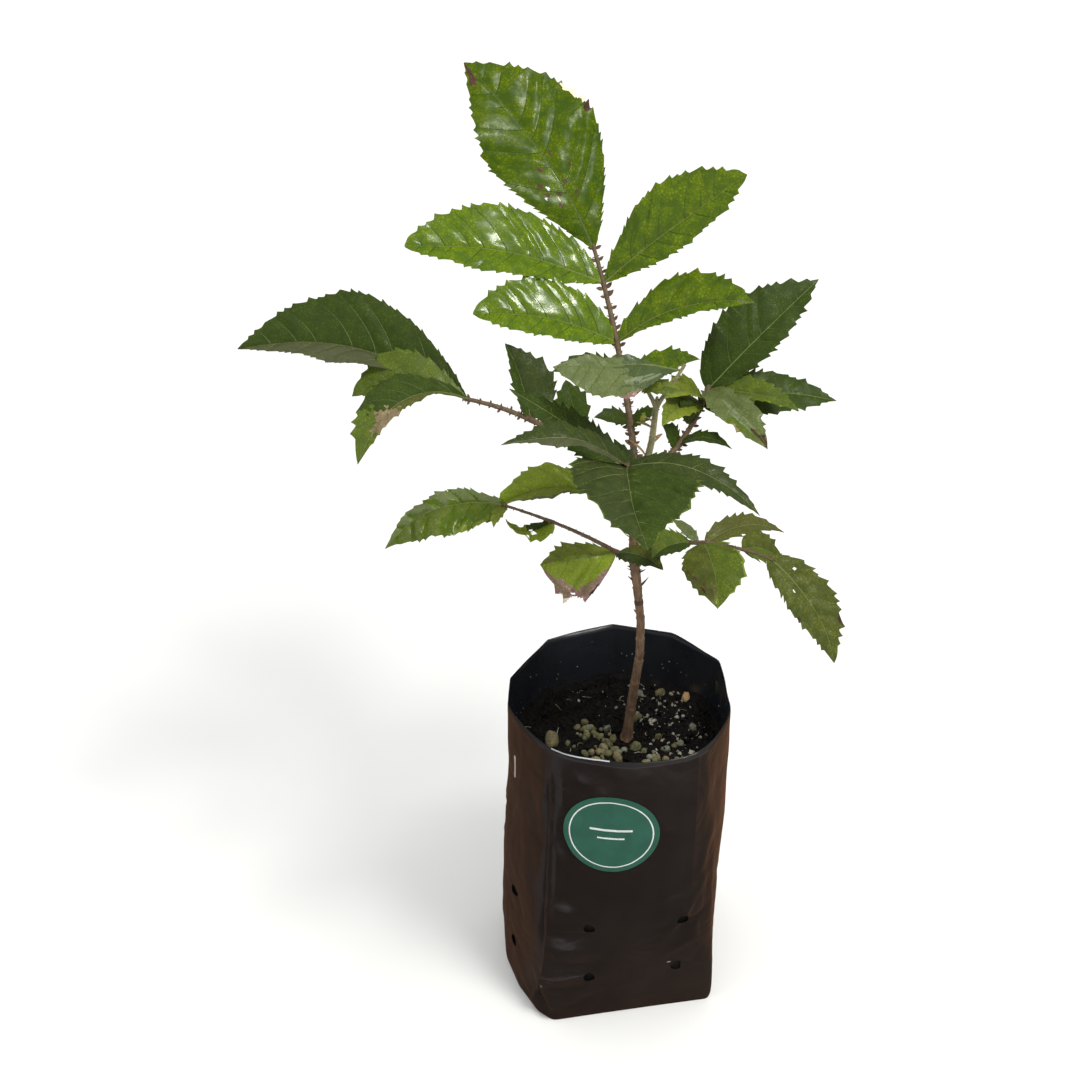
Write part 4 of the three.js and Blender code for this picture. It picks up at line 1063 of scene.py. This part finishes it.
def polygonRadius(corners, angles):
    turned = np.asarray(angles) % 360
    turned = np.where(turned < corners[0, 0], turned + 360, turned)
    index = np.searchsorted(corners[:, 0], turned, side="right") - 1
    wrapped = np.vstack([corners, corners[0] + [360, 0]])
    angleA, radiusA = np.moveaxis(wrapped[index], -1, 0)
    angleB, radiusB = np.moveaxis(wrapped[index + 1], -1, 0)
    turned, angleA, angleB = np.radians(turned), np.radians(angleA), np.radians(angleB)
    spanned = np.sin(angleB - angleA) * radiusA * radiusB
    return spanned / (np.sin(turned - angleA) * radiusA + np.sin(angleB - turned) * radiusB)


def softPolygon(corners, angles, heights):
    # rounds the corners above the foot, most of all in front where the film bellies
    reach = bag["round"] * (0.08 + 0.92 * smoothStep(-np.sin(np.radians(angles)), -0.1, 0.45))
    reach = reach * (0.14 + 0.86 * smoothStep(np.asarray(heights), 12, 90))
    return sum(weight * polygonRadius(corners, angles + offset * reach)
               for offset, weight in ((-1, 0.15), (-0.5, 0.22), (0, 0.26), (0.5, 0.22), (1, 0.15)))


def bagOutline(angles, heights):  # without dents and creases
    share = np.asarray(heights) / bag["height"]
    turned = smoothStep(share, 0.02, 0.02 + bag["blend"])
    foot, mouth = (softPolygon(corners, angles, heights) for corners in (footCorners, mouthCorners))
    swell = bag["belly"] * np.sin(math.pi * np.minimum(1, share / bag["blend"]))
    tuck = bag["tuck"] * np.maximum(0, 1 - np.asarray(heights) / bag["tuckHeight"]) ** 2
    return foot * (1 - turned) + mouth * turned + swell - tuck


def bagDents(angles, heights):
    random = np.random.default_rng(8)
    lines = list(creases)
    for _ in range(bag["hiddenCreases"]):  # the sides that don't show get creases of the same kinds
        angle, height = random.uniform(-38, 205), random.uniform(4, 178)
        lines.append((angle, height, angle + random.uniform(-14, 14), height + random.uniform(-24, 24),
                      random.uniform(1.6, 4.5), random.uniform(-0.9, 0.9)))
    dents = np.zeros_like(angles)
    for angleA, heightA, angleB, heightB, width, depth in lines:
        ax, az = arcFrom(angles, angleA) * 1.08, heights - heightA
        bx, bz = (angleB - angleA) * 1.08, heightB - heightA
        share = np.clip((ax * bx + az * bz) / (bx * bx + bz * bz), 0, 1)
        away = np.hypot(ax - bx * share, az - bz * share)
        ends = np.sin(math.pi * np.clip(0.08 + 0.84 * share, 0, 1)) ** 0.5
        dents += depth * ends * np.exp(-(away / width) ** 1.3)
    turn = np.radians(angles)
    slow = 0.35 * np.sin(turn * 5 + heights / 21) * np.sin(heights / 17 + turn * 2)
    slow += 0.22 * np.sin(turn * 11 - heights / 9) * np.sin(heights / 13)
    fine = 0.05 * np.sin(turn * 41 + heights / 3.1) * np.sin(turn * 17 - heights / 2.3)
    # the stiff sticker holds the film smooth
    away = np.hypot(arcFrom(angles, sticker["angle"]) * 1.05, heights - sticker["height"])
    smooth = smoothStep(away, sticker["radius"] - 1, sticker["radius"] + 8)
    calm = smooth * smoothStep(heights, 0, 3) * (1 - 0.5 * smoothStep(heights, 176, 184))
    return (dents + slow + fine) * calm


def bagRadius(angles, heights):
    return bagOutline(angles, heights) + bagDents(angles, heights)


def onTurn(radius, angles, heights):
    return np.stack([radius * np.cos(np.radians(angles)), radius * np.sin(np.radians(angles)), heights], -1)


def makeFilm(name, color, dustColor, roughness, bumpStrength):
    material, tree, shader = newMaterial(name, roughness)
    place = objectPlace(tree)
    dust = noise(tree, place, bag["dustScale"], 2.0).outputs["Fac"]
    dusty = mixColours(tree, spread(tree, dust, 0.4, 0.75), tone(*color), tone(*dustColor))
    tree.links.new(dusty, shader.inputs["Base Color"])
    rough = spread(tree, dust, 0.35, 0.7, roughness * 0.8, roughness * 1.35)
    tree.links.new(rough, shader.inputs["Roughness"])
    ripple = noise(tree, place, bag["rippleScale"], 1.5, distortion=1.2).outputs["Fac"]
    bumpFrom(tree, shader, ripple, bumpStrength, 0.004)
    return material


# Film skins: colour, colour where it is dusty, roughness, ripples
filmLooks = {
    "bagFilm": ((33, 27, 24), (40, 33, 30), 0.17, 0.27),
    # bagScuffAndGlint: pale scuffs, and painted glints
    "bagScuffAndGlint": ((190, 184, 176), (150, 142, 132), 0.5, 0.3),
    "bagInside": ((34, 36, 41), (42, 44, 50), 0.28, 0.2),
    "bagRim": ((30, 28, 28), (40, 39, 39), 0.25, 0.2),
    # bagRimGlint: a painted highlight on the lip
    "bagRimGlint": ((188, 190, 194), (128, 130, 134), 0.3, 0.3),
}
filmNames = list(filmLooks)


def fineNear(even, places, reach, step):  # closer lines near the places
    near = np.concatenate([np.arange(place - reach, place + reach + step / 2, step) for place in places])
    apart = np.abs(even[:, None] - near).min(1)
    return np.sort(np.concatenate([even[apart > step * 0.8], near]))


def filmSkins():  # the outside and the inside, with each point's angle and height
    even = np.arange(0, 360, bag["step"])
    angles = fineNear(even, [*bag["holeAngles"], *bag["seams"]], 3.8, bag["fineStep"])
    even = np.arange(0, bag["height"] - 3, bag["heightStep"])
    side = fineNear(even, bag["holeHeights"], 4.4, bag["fineHeight"])
    side = np.concatenate([side, bag["height"] - np.array([2.4, 1.8, 1.2, 0.7, 0.3, 0])])
    angles, heights = np.meshgrid(angles, side)
    # the lip rolls in where it faces the front and out at the back
    turns = np.radians(angles)
    roll = bag["roll"] * np.sin(turns) * (1 + 0.3 * np.sin(turns * 7 + 1))
    roll *= np.maximum(0, 1 - (bag["height"] - heights) / bag["rollHeight"]) ** 1.6
    radius = bagRadius(angles, heights) + roll
    inner = onTurn(radius - bag["film"], angles, np.maximum(heights, bag["film"]))
    skins = [onTurn(radius, angles, heights), inner]
    shares = bag["underside"]
    skins = [np.concatenate([[skin[0] * [share, share, 1] for share in shares], skin]) for skin in skins]
    heights = np.concatenate([np.zeros((len(shares), angles.shape[1])), heights])
    angles = np.concatenate([np.tile(angles[0], (len(shares), 1)), angles])
    return *skins, angles, heights


def punchHoles(outer, inner, angles, heights):
    # the nearest points are drawn onto each hole's edge, and what lies inside is dropped
    inside = np.zeros(heights.shape, bool)
    perDegree = math.pi / 180 * bag["holeReach"]
    for height in bag["holeHeights"]:
        for angle in bag["holeAngles"]:
            arc, rise = arcFrom(angles, angle) * perDegree, heights - height
            far = np.hypot(arc, rise)
            ragged = bag["holeRadius"] * (1 + 0.08 * np.sin(3 * np.arctan2(rise, arc) + angle))
            inside |= (far < ragged - 0.25) & (heights > 1)
            near = (far >= ragged - 0.25) & (far < ragged + 0.25) & (heights > 1)
            pull = np.where(near, ragged / np.maximum(far, 0.1), 1) - 1
            for skin in (outer, inner):
                flat = np.hypot(skin[..., 0], skin[..., 1])
                skin[near] = onTurn(flat, angles + arc * pull / perDegree, heights + rise * pull)[near]
    return inside


def filmSlots(centres):
    heading, height = np.degrees(np.arctan2(centres[:, 1], centres[:, 0])) % 360, centres[:, 2]
    rim = height > bag["height"] - bag["rimHeight"] + 0.4 * np.sin(np.radians(heading))
    slots = np.where(rim, filmNames.index("bagRim"), filmNames.index("bagFilm"))
    uneven = np.sin(np.radians(heading) * 9) + np.sin(np.radians(heading) * 23 + 2)
    # painted highlight: a pale band along the top of the lip, in a few stretches
    glinting = np.zeros(len(heading), bool)
    for angle, reach, change in bag["rimGlintSpots"]:
        glinting |= np.abs(heading - angle) < reach + change * uneven
    glinting &= height > bag["height"] - bag["rimGlintHeight"]
    slots = np.where(glinting, filmNames.index("bagRimGlint"), slots)
    # pale scuffs, and painted glints on the creases near the foot
    for angle, middle, wide, tall, lean in bag["scuffsAndGlints"]:
        arc, rise = arcFrom(heading, angle) * 1.1, height - middle
        c, s = math.cos(math.radians(lean)), math.sin(math.radians(lean))
        inside = ((arc * c + rise * s) / wide) ** 2 + ((rise * c - arc * s) / tall) ** 2 < 1
        slots[inside] = filmNames.index("bagScuffAndGlint")
    return slots


def buildBag():
    outer, inner, angles, heights = filmSkins()
    inside = punchHoles(outer, inner, angles, heights)
    quads = gridQuads(*inside.shape, closed=True)
    quads = quads[~inside.ravel()[quads].any(1)]
    outer, inner = outer.reshape(-1, 3), inner.reshape(-1, 3)
    slots = filmSlots(outer[quads].mean(1))
    rim, within = filmNames.index("bagRim"), filmNames.index("bagInside")
    heap = newHeap()
    pileShell(heap, outer, inner, quads, slots, np.where(slots >= rim, rim, within))
    skins = [makeFilm(name, *look) for name, look in filmLooks.items()]
    makePiece("planterBagFilm", heap, skins, ("planter_bag",), sharp=60)
    print("bag done")


buildBag()


# Potting mix: a crumbly surface with bark, pellets, pale grains and stones
mix = {
    "top": 151.4, "rings": 60, "steps": 260, "rough": 0.42, "rimRise": 1.4,
    "levels": (1.6, 10, 25, 45, 65, 90, 120, 140), "wallGap": 1.4,
    "crumbs": 4200, "chips": 420, "fibres": 60, "flecks": 70, "margin": 3.6, "soilShare": 0.72,
    # where, how far they spread, and how many
    "pelletSpots": ((-12, 4, 10, 26), (-6, -8, 8, 16), (-18, 10, 6, 8), (18, -9, 8, 9), (30, 0, 7, 5),
                    (8, 22, 6, 4)),
    "perliteSpots": ((24, 20, 28, 84), (36, -4, 20, 36), (18, 45, 16, 26), (-16, 44, 18, 10),
                     (30, 30, 18, 26)),
    # place, size and kind
    "stones": (
        (-35.5, 0.5, 4.6, "tan"), (24, 43, 2.9, "tan"), (39, 41, 3.0, "orange"), (-1, -13, 3.2, "tan"),
        (8.6, -5.4, 3.0, "olive"), (-8, -5, 2.8, "tan"), (-13, -14, 2.7, "tan"), (-18, -8, 2.3, "olive"),
        (3, -21, 2.5, "olive"), (-6, -20, 2.4, "tan"), (22, -20, 2.3, "olive"), (-2, -4.5, 2.2, "olive"),
        (14, -16, 2.2, "tan"), (-6, 12, 2.3, "grey"), (12.7, 43, 2.1, "grey"), (30, -14, 2.2, "tan"),
        (21, 5, 2.0, "olive"), (-22, 12, 2.2, "tan"), (40, 12, 2.2, "grey"), (-3, 3, 2.3, "olive"),
    ),
}
# Grains: name of the material, colour, dark colour, roughness, scale of the grain
crumbLooks = {
    "soil": ("mixDark", (36, 34, 32), (12, 11, 11), 0.95, 900),
    "brown": ("mixBark", (48, 38, 30), (22, 17, 14), 0.9, 700),
    "tan": ("pelletTan", (158, 148, 112), (92, 82, 56), 0.75, 800),
    "olive": ("pelletOlive", (132, 130, 92), (76, 74, 50), 0.75, 800),
    "grey": ("pelletGrey", (148, 152, 132), (90, 94, 80), 0.75, 800),
    "orange": ("stoneOrange", (222, 200, 156), (168, 124, 74), 0.75, 500),
    "perlite": ("perliteGrain", (196, 192, 176), (132, 126, 110), 0.85, 900),
}
crumbNames = list(crumbLooks)
crumbMaterials = [makeGrained(name, color, dark, rough, scale, scale / 5, 0.7, 1.0, 0.2)
                  for name, color, dark, rough, scale in crumbLooks.values()]


def roundGrain(detail):
    # a rounded grain: the points of a cube's faces drawn onto a ball
    line = np.linspace(-1, 1, detail + 1)
    quads = gridQuads(detail + 1, detail + 1)
    a, b = np.meshgrid(line, line, indexing="ij")
    points, faces = [], []
    for axis in range(3):
        for sign in (-1, 1):
            spot = np.stack([np.full_like(a, sign), a, b], -1)
            faces.append((quads[:, ::-1] if sign > 0 else quads) + len(points) * (detail + 1) ** 2)
            points.append(np.roll(spot, axis, axis=-1).reshape(-1, 3))
    points, faces = np.concatenate(points), np.concatenate(faces)
    _, first, back = np.unique(np.round(points, 4), axis=0, return_index=True, return_inverse=True)
    faces, points = back.reshape(-1)[faces], unit(points[first])
    corner = points[faces[0]]
    outward = np.dot(np.cross(corner[1] - corner[0], corner[2] - corner[0]), corner[0]) > 0
    return points, faces if outward else faces[:, ::-1]


grains = {detail: roundGrain(detail) for detail in (1, 2, 4)}


def turnMatrix(random):
    q = random.standard_normal(4)
    a, b, c, d = q / np.linalg.norm(q)
    return np.array([
        [a * a + b * b - c * c - d * d, 2 * (b * c - a * d), 2 * (b * d + a * c)],
        [2 * (b * c + a * d), a * a - b * b + c * c - d * d, 2 * (c * d - a * b)],
        [2 * (b * d - a * c), 2 * (c * d + a * b), a * a - b * b - c * c + d * d]])


def fromStem(x, y):
    return np.hypot(x - stemFoot[0], y - stemFoot[1])


def mixTop(x, y):
    slow = 0.9 * np.sin(x / 7.5 + 1) * np.sin(y / 8.3 + 2)
    slow = slow + 0.6 * np.sin(x / 3.4 + y / 5.1) + 0.4 * np.sin(y / 2.9 - x / 4.2)
    return mix["top"] - 0.5 + slow * smoothStep(fromStem(x, y), 4, 12)


def onDisc(random, reach):  # a place anywhere on a disc
    turn, far = random.uniform(0, fullTurn), reach * math.sqrt(random.uniform(0, 1))
    return far * math.cos(turn), far * math.sin(turn)


# How far out there is room, all round, at the level of the mix
roomAngles = np.arange(361.0)
levels = [np.full(361, mix["top"] + up) for up in (-1, 0, 1, 2)]
rooms = np.min([bagRadius(roomAngles, level) for level in levels], axis=0) - bag["film"]


def roomAt(x, y):
    return np.interp(math.degrees(math.atan2(y, x)) % 360, roomAngles, rooms)


def isFree(x, y, margin, apart=0.0):  # inside the bag and beside the stem
    return math.hypot(x, y) < roomAt(x, y) - margin and fromStem(x, y) > apart


def buildMixBody(random):
    even = np.linspace(0, 360, mix["steps"], endpoint=False)
    angles, shares = np.meshgrid(even, np.linspace(0.004, 1, mix["rings"]))
    reach = (bagRadius(angles, np.full_like(angles, mix["top"])) - bag["film"] - 0.05) * shares
    x, y = reach * np.cos(np.radians(angles)), reach * np.sin(np.radians(angles))
    rough = random.standard_normal(x.shape) * mix["rough"] * smoothStep(np.hypot(x - 4, y - 4), 2, 8)
    rim = mix["rimRise"] * smoothStep(shares, 0.9, 1.0)
    surface = np.stack([x, y, mixTop(x, y) + rough + rim], -1)[::-1]
    # the sides stand inside the film, dark behind the drain holes
    angles, levels = np.meshgrid(even, mix["levels"])
    wall = onTurn(bagRadius(angles, levels) - mix["wallGap"], angles, levels)
    rings = np.concatenate([[wall[0] * [share, share, 1] for share in (0.01, 0.5)], wall, surface])
    soil = crumbNames.index("soil")
    heap = newHeap()
    pile(heap, rings, gridQuads(len(rings), mix["steps"], closed=True), soil)
    pileEnd(heap, rings[0], rings[0].mean(0), soil, 1)
    pileEnd(heap, rings[-1], rings[-1].mean(0), soil, -1)
    makePiece("pottingMixBody", heap, crumbMaterials, ("potting_mix",), sharp=70)


def pileGrain(heap, random, detail, place, size, squash, name, lift=0.3, lumps=0.2):
    points, faces = grains[detail]
    bumpy = points * (1 + lumps * random.standard_normal((len(points), 1)))
    shaped = (bumpy * np.array(squash)) @ turnMatrix(random).T * size
    if len(place) == 2:  # lying on the mix
        place = (*place, mixTop(*place) + lift * size)
    pile(heap, shaped + place, faces, crumbNames.index(name))


def pileCrumbs(heap, random):
    for _ in range(mix["crumbs"]):
        place = onDisc(random, 58)
        if isFree(*place, 1.8, 4.5):
            name = "soil" if random.uniform() < mix["soilShare"] else "brown"
            size = random.uniform(0.35, 1.25)
            pileGrain(heap, random, 1, place, size, random.uniform(0.5, 1.2, 3), name, 0.15)
    for _ in range(mix["chips"]):
        place = onDisc(random, 56)
        if isFree(*place, mix["margin"], 6):
            size = random.uniform(1.0, 2.6)
            name = "brown" if random.uniform() < 0.4 else "soil"
            pileGrain(heap, random, 2, place, size, (1.2, 0.6, 0.32), name, 0.1, 0.15)


def pilePellets(heap, random):
    for kind, spots in (("pellet", mix["pelletSpots"]), ("perlite", mix["perliteSpots"])):
        for middleX, middleY, reach, count in spots:
            for _ in range(count):
                place = (middleX + random.normal() * reach * 0.5, middleY + random.normal() * reach * 0.45)
                if not isFree(*place, mix["margin"], 6.5):
                    continue
                if kind == "pellet":
                    size, squash = 0.8 + 1.3 * random.uniform() ** 1.3, random.uniform(0.85, 1.1, 3)
                    name = ("tan", "olive", "grey", "olive")[random.integers(4)]
                    pileGrain(heap, random, 4, place, size, squash, name, 0.45, 0.055)
                else:
                    size, squash = 0.3 + 1.1 * random.uniform() ** 2.5, random.uniform(0.6, 1.2, 3)
                    pileGrain(heap, random, 2, place, size, squash, kind)


def pileFlecks(heap, random):  # bits that cling to the inside of the film
    for _ in range(mix["flecks"]):
        heading, height = random.uniform(20, 165), mix["top"] + 3 + 24 * random.uniform() ** 2
        far = bagRadius(np.array([heading]), np.array([height]))[0] - bag["film"] - 0.15
        place = (*towards(heading, 0)[:2] * far, height)
        name = ("soil", "brown", "tan", "perlite")[random.integers(4)]
        size = random.uniform(0.25, 0.6)
        pileGrain(heap, random, 1, place, size, random.uniform(0.5, 1.2, 3), name, lumps=0.12)


def pileStones(heap, random):
    for x, y, size, name in mix["stones"]:
        inward = min(1, (roomAt(x, y) - 1.3 * size) / math.hypot(x, y))
        pileGrain(heap, random, 4, (x * inward, y * inward), size, (1.2, 0.95, 0.75), name, 0.25, 0.07)


def pileFibres(heap, random):  # short dry roots and straws
    s = np.linspace(-0.5, 0.5, 6)
    for _ in range(mix["fibres"]):
        x, y = onDisc(random, 52)
        heading, length = random.uniform(0, fullTurn), random.uniform(2.5, 8)
        bend = random.uniform(-1.5, 1.5)
        if not isFree(x, y, 6):
            continue
        lineX = x + s * length * math.cos(heading) + bend * s ** 2 * 3
        lineY = y + s * length * math.sin(heading) - bend * s ** 2 * 3
        line = np.stack([lineX, lineY, mixTop(lineX, lineY) + 0.7 + 0.5 * np.cos(s * 4)], -1)
        radius = random.uniform(0.1, 0.2)
        name = ("tan", "perlite", "brown")[random.integers(3)]
        pileLine(heap, line, np.full(6, radius), 4, crumbNames.index(name))


def buildMix():
    random = np.random.default_rng(3)
    buildMixBody(random)
    heap = newHeap()
    for pileSome in (pileCrumbs, pilePellets, pileFlecks, pileStones, pileFibres):
        pileSome(heap, random)
    makePiece("mixGrains", heap, crumbMaterials, ("potting_mix",), sharp=45)
    print("mix done")


buildMix()


# Sticker: a plain green disc with a pale ring and two short rules

def makeStickerMaterial(name, color, roughness):
    material, tree, shader = newMaterial(name, roughness)
    place = objectPlace(tree)
    grain = noise(tree, place, 700.0, 3.0).outputs["Fac"]
    cloud = noise(tree, place, 90.0, 3.0).outputs["Fac"]
    darker = tuple(c * 0.82 for c in tone(*color)[:3]) + (1.0,)
    clouded = mixColours(tree, spread(tree, cloud, 0.35, 0.65), darker, tone(*color))
    tree.links.new(clouded, shader.inputs["Base Color"])
    rough = spread(tree, grain, 0.3, 0.7, roughness * 0.85, roughness * 1.2)
    tree.links.new(rough, shader.inputs["Roughness"])
    bumpFrom(tree, shader, grain, 0.15, 0.0002)
    return material


def stickerSkin(across, up, lift):
    middle = bagOutline(np.array([sticker["angle"]]), np.array([sticker["height"]]))[0]
    angles, heights = sticker["angle"] + across * 180 / (math.pi * middle), sticker["height"] + up
    return onTurn(bagRadius(angles, heights) + lift, angles, heights).reshape(-1, 3)


def buildSticker():
    inner, outer = sticker["ring"]
    lift, top = sticker["lift"], sticker["lift"] + sticker["thickness"]
    rings = np.unique(np.concatenate([[0.02], np.linspace(0.9, sticker["radius"], 34), [inner, outer]]))
    turns = np.linspace(0, fullTurn, 120, endpoint=False)
    quads = gridQuads(len(rings), len(turns), closed=True)
    far, turns = np.meshgrid(rings, turns, indexing="ij")
    across, up = far * np.cos(turns), far * np.sin(turns)
    far = far.ravel()[quads].mean(1)
    slots = ((far > inner) & (far < outer)).astype(int)
    face, back = stickerSkin(across, up, top), stickerSkin(across, up, lift - 0.5)
    heap = newHeap()
    pileShell(heap, face, back, quads, slots, slots * 0)
    quads = gridQuads(3, 14)
    slots = np.ones(len(quads), int)
    for left, low, wide, tall in sticker["rules"]:
        across, up = np.meshgrid(np.linspace(left, left + wide, 14), np.linspace(low, low + tall, 3))
        face, back = stickerSkin(across, up, top + 0.06), stickerSkin(across, up, lift)
        pileShell(heap, face, back, quads, slots, slots)
    green = makeStickerMaterial("stickerGreen", *sticker["green"])
    pale = makeStickerMaterial("stickerPale", *sticker["pale"])
    makePiece("roundSticker", heap, [green, pale], ("label",))
    print("sticker done")


buildSticker()


# Floor, light and camera
stage = {
    "floorReach": 60000, "floorColor": (250, 250, 248), "floorShade": (246, 246, 244),
    "glowFrom": (0.35, 1.4), "glow": 0.2,
    "horizon": 0.6, "zenith": 0.95, "glossHorizon": 0.32, "glossZenith": 0.12,
    # what gloss sees of the floor: a brown bench beside and behind, brighter far in front
    "benchColor": (120, 82, 54), "nearFront": (40, 39, 39), "farFront": (196, 200, 210),
    "frontFrom": (0.26, 0.58), "leftFront": (116, 118, 125), "benchBorder": (-0.02, -0.1),
    # the headings, in radians, between which the left part of the front begins and ends
    "leftBegins": (-2.95, -2.85), "leftEnds": (-2.5, -2.62),
    # place in metres, aimed at, size, watts, colour, lights matt surfaces, shows in gloss
    "lights": {
        "keyLight": ((0.5, -0.5, 1.7), (0, 0, 0.3), 0.45, 17, (1.0, 0.985, 0.95), True, False),
        "gleamLight": ((0.75, -0.5, 1.47), (0, 0, 0.4), 0.3, 10, (1.0, 0.99, 0.96), False, True),
        "skyPanel": ((-0.3, -0.2, 2.1), (0, 0, 0.3), 1.2, 4, (0.93, 0.97, 1.0), True, False),
    },
    "cameraPlace": (-0.04177, -0.90331, 0.89816), "cameraTilt": 55.7, "lens": 73.33,
}


def makeFloorMaterial():
    material, tree, shader = newMaterial("floorPaint", 0.6)
    place = objectPlace(tree)
    faint = noise(tree, place, 3.0, 2.0).outputs["Fac"]
    pale = mixColours(tree, faint, tone(*stage["floorColor"]), tone(*stage["floorShade"]))
    away = addNode(tree, "ShaderNodeVectorMath", {0: place}, operation="LENGTH").outputs["Value"]
    far = spread(tree, away, *stage["frontFrom"])
    front = mixColours(tree, far, tone(*stage["nearFront"]), tone(*stage["farFront"]))
    apart = addNode(tree, "ShaderNodeSeparateXYZ", {0: place}).outputs
    heading = sums(tree, "ARCTAN2", apart["Y"], apart["X"])
    begins, ends = spread(tree, heading, *stage["leftBegins"]), spread(tree, heading, *stage["leftEnds"])
    front = mixColours(tree, sums(tree, "MULTIPLY", begins, ends), front, tone(*stage["leftFront"]))
    ahead = spread(tree, apart["Y"], *stage["benchBorder"])
    seen = mixColours(tree, ahead, tone(*stage["benchColor"]), front)
    glossy = addNode(tree, "ShaderNodeLightPath").outputs["Is Glossy Ray"]
    tree.links.new(mixColours(tree, glossy, pale, seen), shader.inputs["Base Color"])
    # far from the plant a faint glow keeps the floor white
    glow = mixColours(tree, glossy, (1, 1, 1, 1), (0, 0, 0, 1))
    tree.links.new(glow, shader.inputs["Emission Color"])
    strength = spread(tree, away, *stage["glowFrom"], 0.0, stage["glow"])
    tree.links.new(strength, shader.inputs["Emission Strength"])
    return material


def buildFloor():
    line = np.linspace(-stage["floorReach"], stage["floorReach"], 5)
    x, y = np.meshgrid(line, line)
    heap = newHeap()
    pile(heap, np.stack([x, y, np.zeros_like(x)], -1), gridQuads(5, 5))
    floor = makeMesh("paleFloor", heap, [makeFloorMaterial()])


def buildWorld():
    world = bpy.data.worlds.new("studioWorld")
    world.use_nodes = True
    tree = world.node_tree
    back = tree.nodes["Background"]
    back.inputs["Color"].default_value = (1, 1, 1, 1)
    place = addNode(tree, "ShaderNodeTexCoord").outputs["Generated"]
    upward = addNode(tree, "ShaderNodeSeparateXYZ", {0: place}).outputs["Z"]
    glossy = addNode(tree, "ShaderNodeLightPath").outputs["Is Glossy Ray"]
    bright = spread(tree, upward, 0.0, 1.0, stage["horizon"], stage["zenith"])
    dim = spread(tree, upward, 0.0, 1.0, stage["glossHorizon"], stage["glossZenith"])
    seen = addNode(tree, "ShaderNodeMix", {0: glossy, 2: bright, 3: dim}, data_type="FLOAT").outputs[0]
    tree.links.new(seen, back.inputs["Strength"])
    bpy.context.scene.world = world


def addLight(name, place, aim, size, watts, color, matt, gloss):
    light = bpy.data.lights.new(name, "AREA")
    light.shape = "DISK"
    light.size = size
    light.energy = watts
    light.color = color
    lamp = bpy.data.objects.new(name, light)
    lamp.location = place
    x, y, z = np.array(aim) - np.array(place)
    lamp.rotation_euler = (math.atan2(math.hypot(x, y), -z), 0, math.atan2(y, x) - math.pi / 2)
    lamp.visible_camera = False
    lamp.visible_diffuse = matt
    lamp.visible_glossy = gloss
    bpy.context.scene.collection.objects.link(lamp)


def buildCamera():
    camera = bpy.data.cameras.new("photoCamera")
    camera.sensor_width = 36
    camera.lens = stage["lens"]
    camera.clip_end = 200
    viewer = bpy.data.objects.new("photoCamera", camera)
    viewer.location = stage["cameraPlace"]
    viewer.rotation_euler = (math.radians(stage["cameraTilt"]), 0, 0)
    bpy.context.scene.collection.objects.link(viewer)
    bpy.context.scene.camera = viewer


buildFloor()
buildWorld()
for name, light in stage["lights"].items():
    addLight(name, *light)
buildCamera()
bpy.context.scene.view_settings.view_transform = "Standard"
print("stage done")
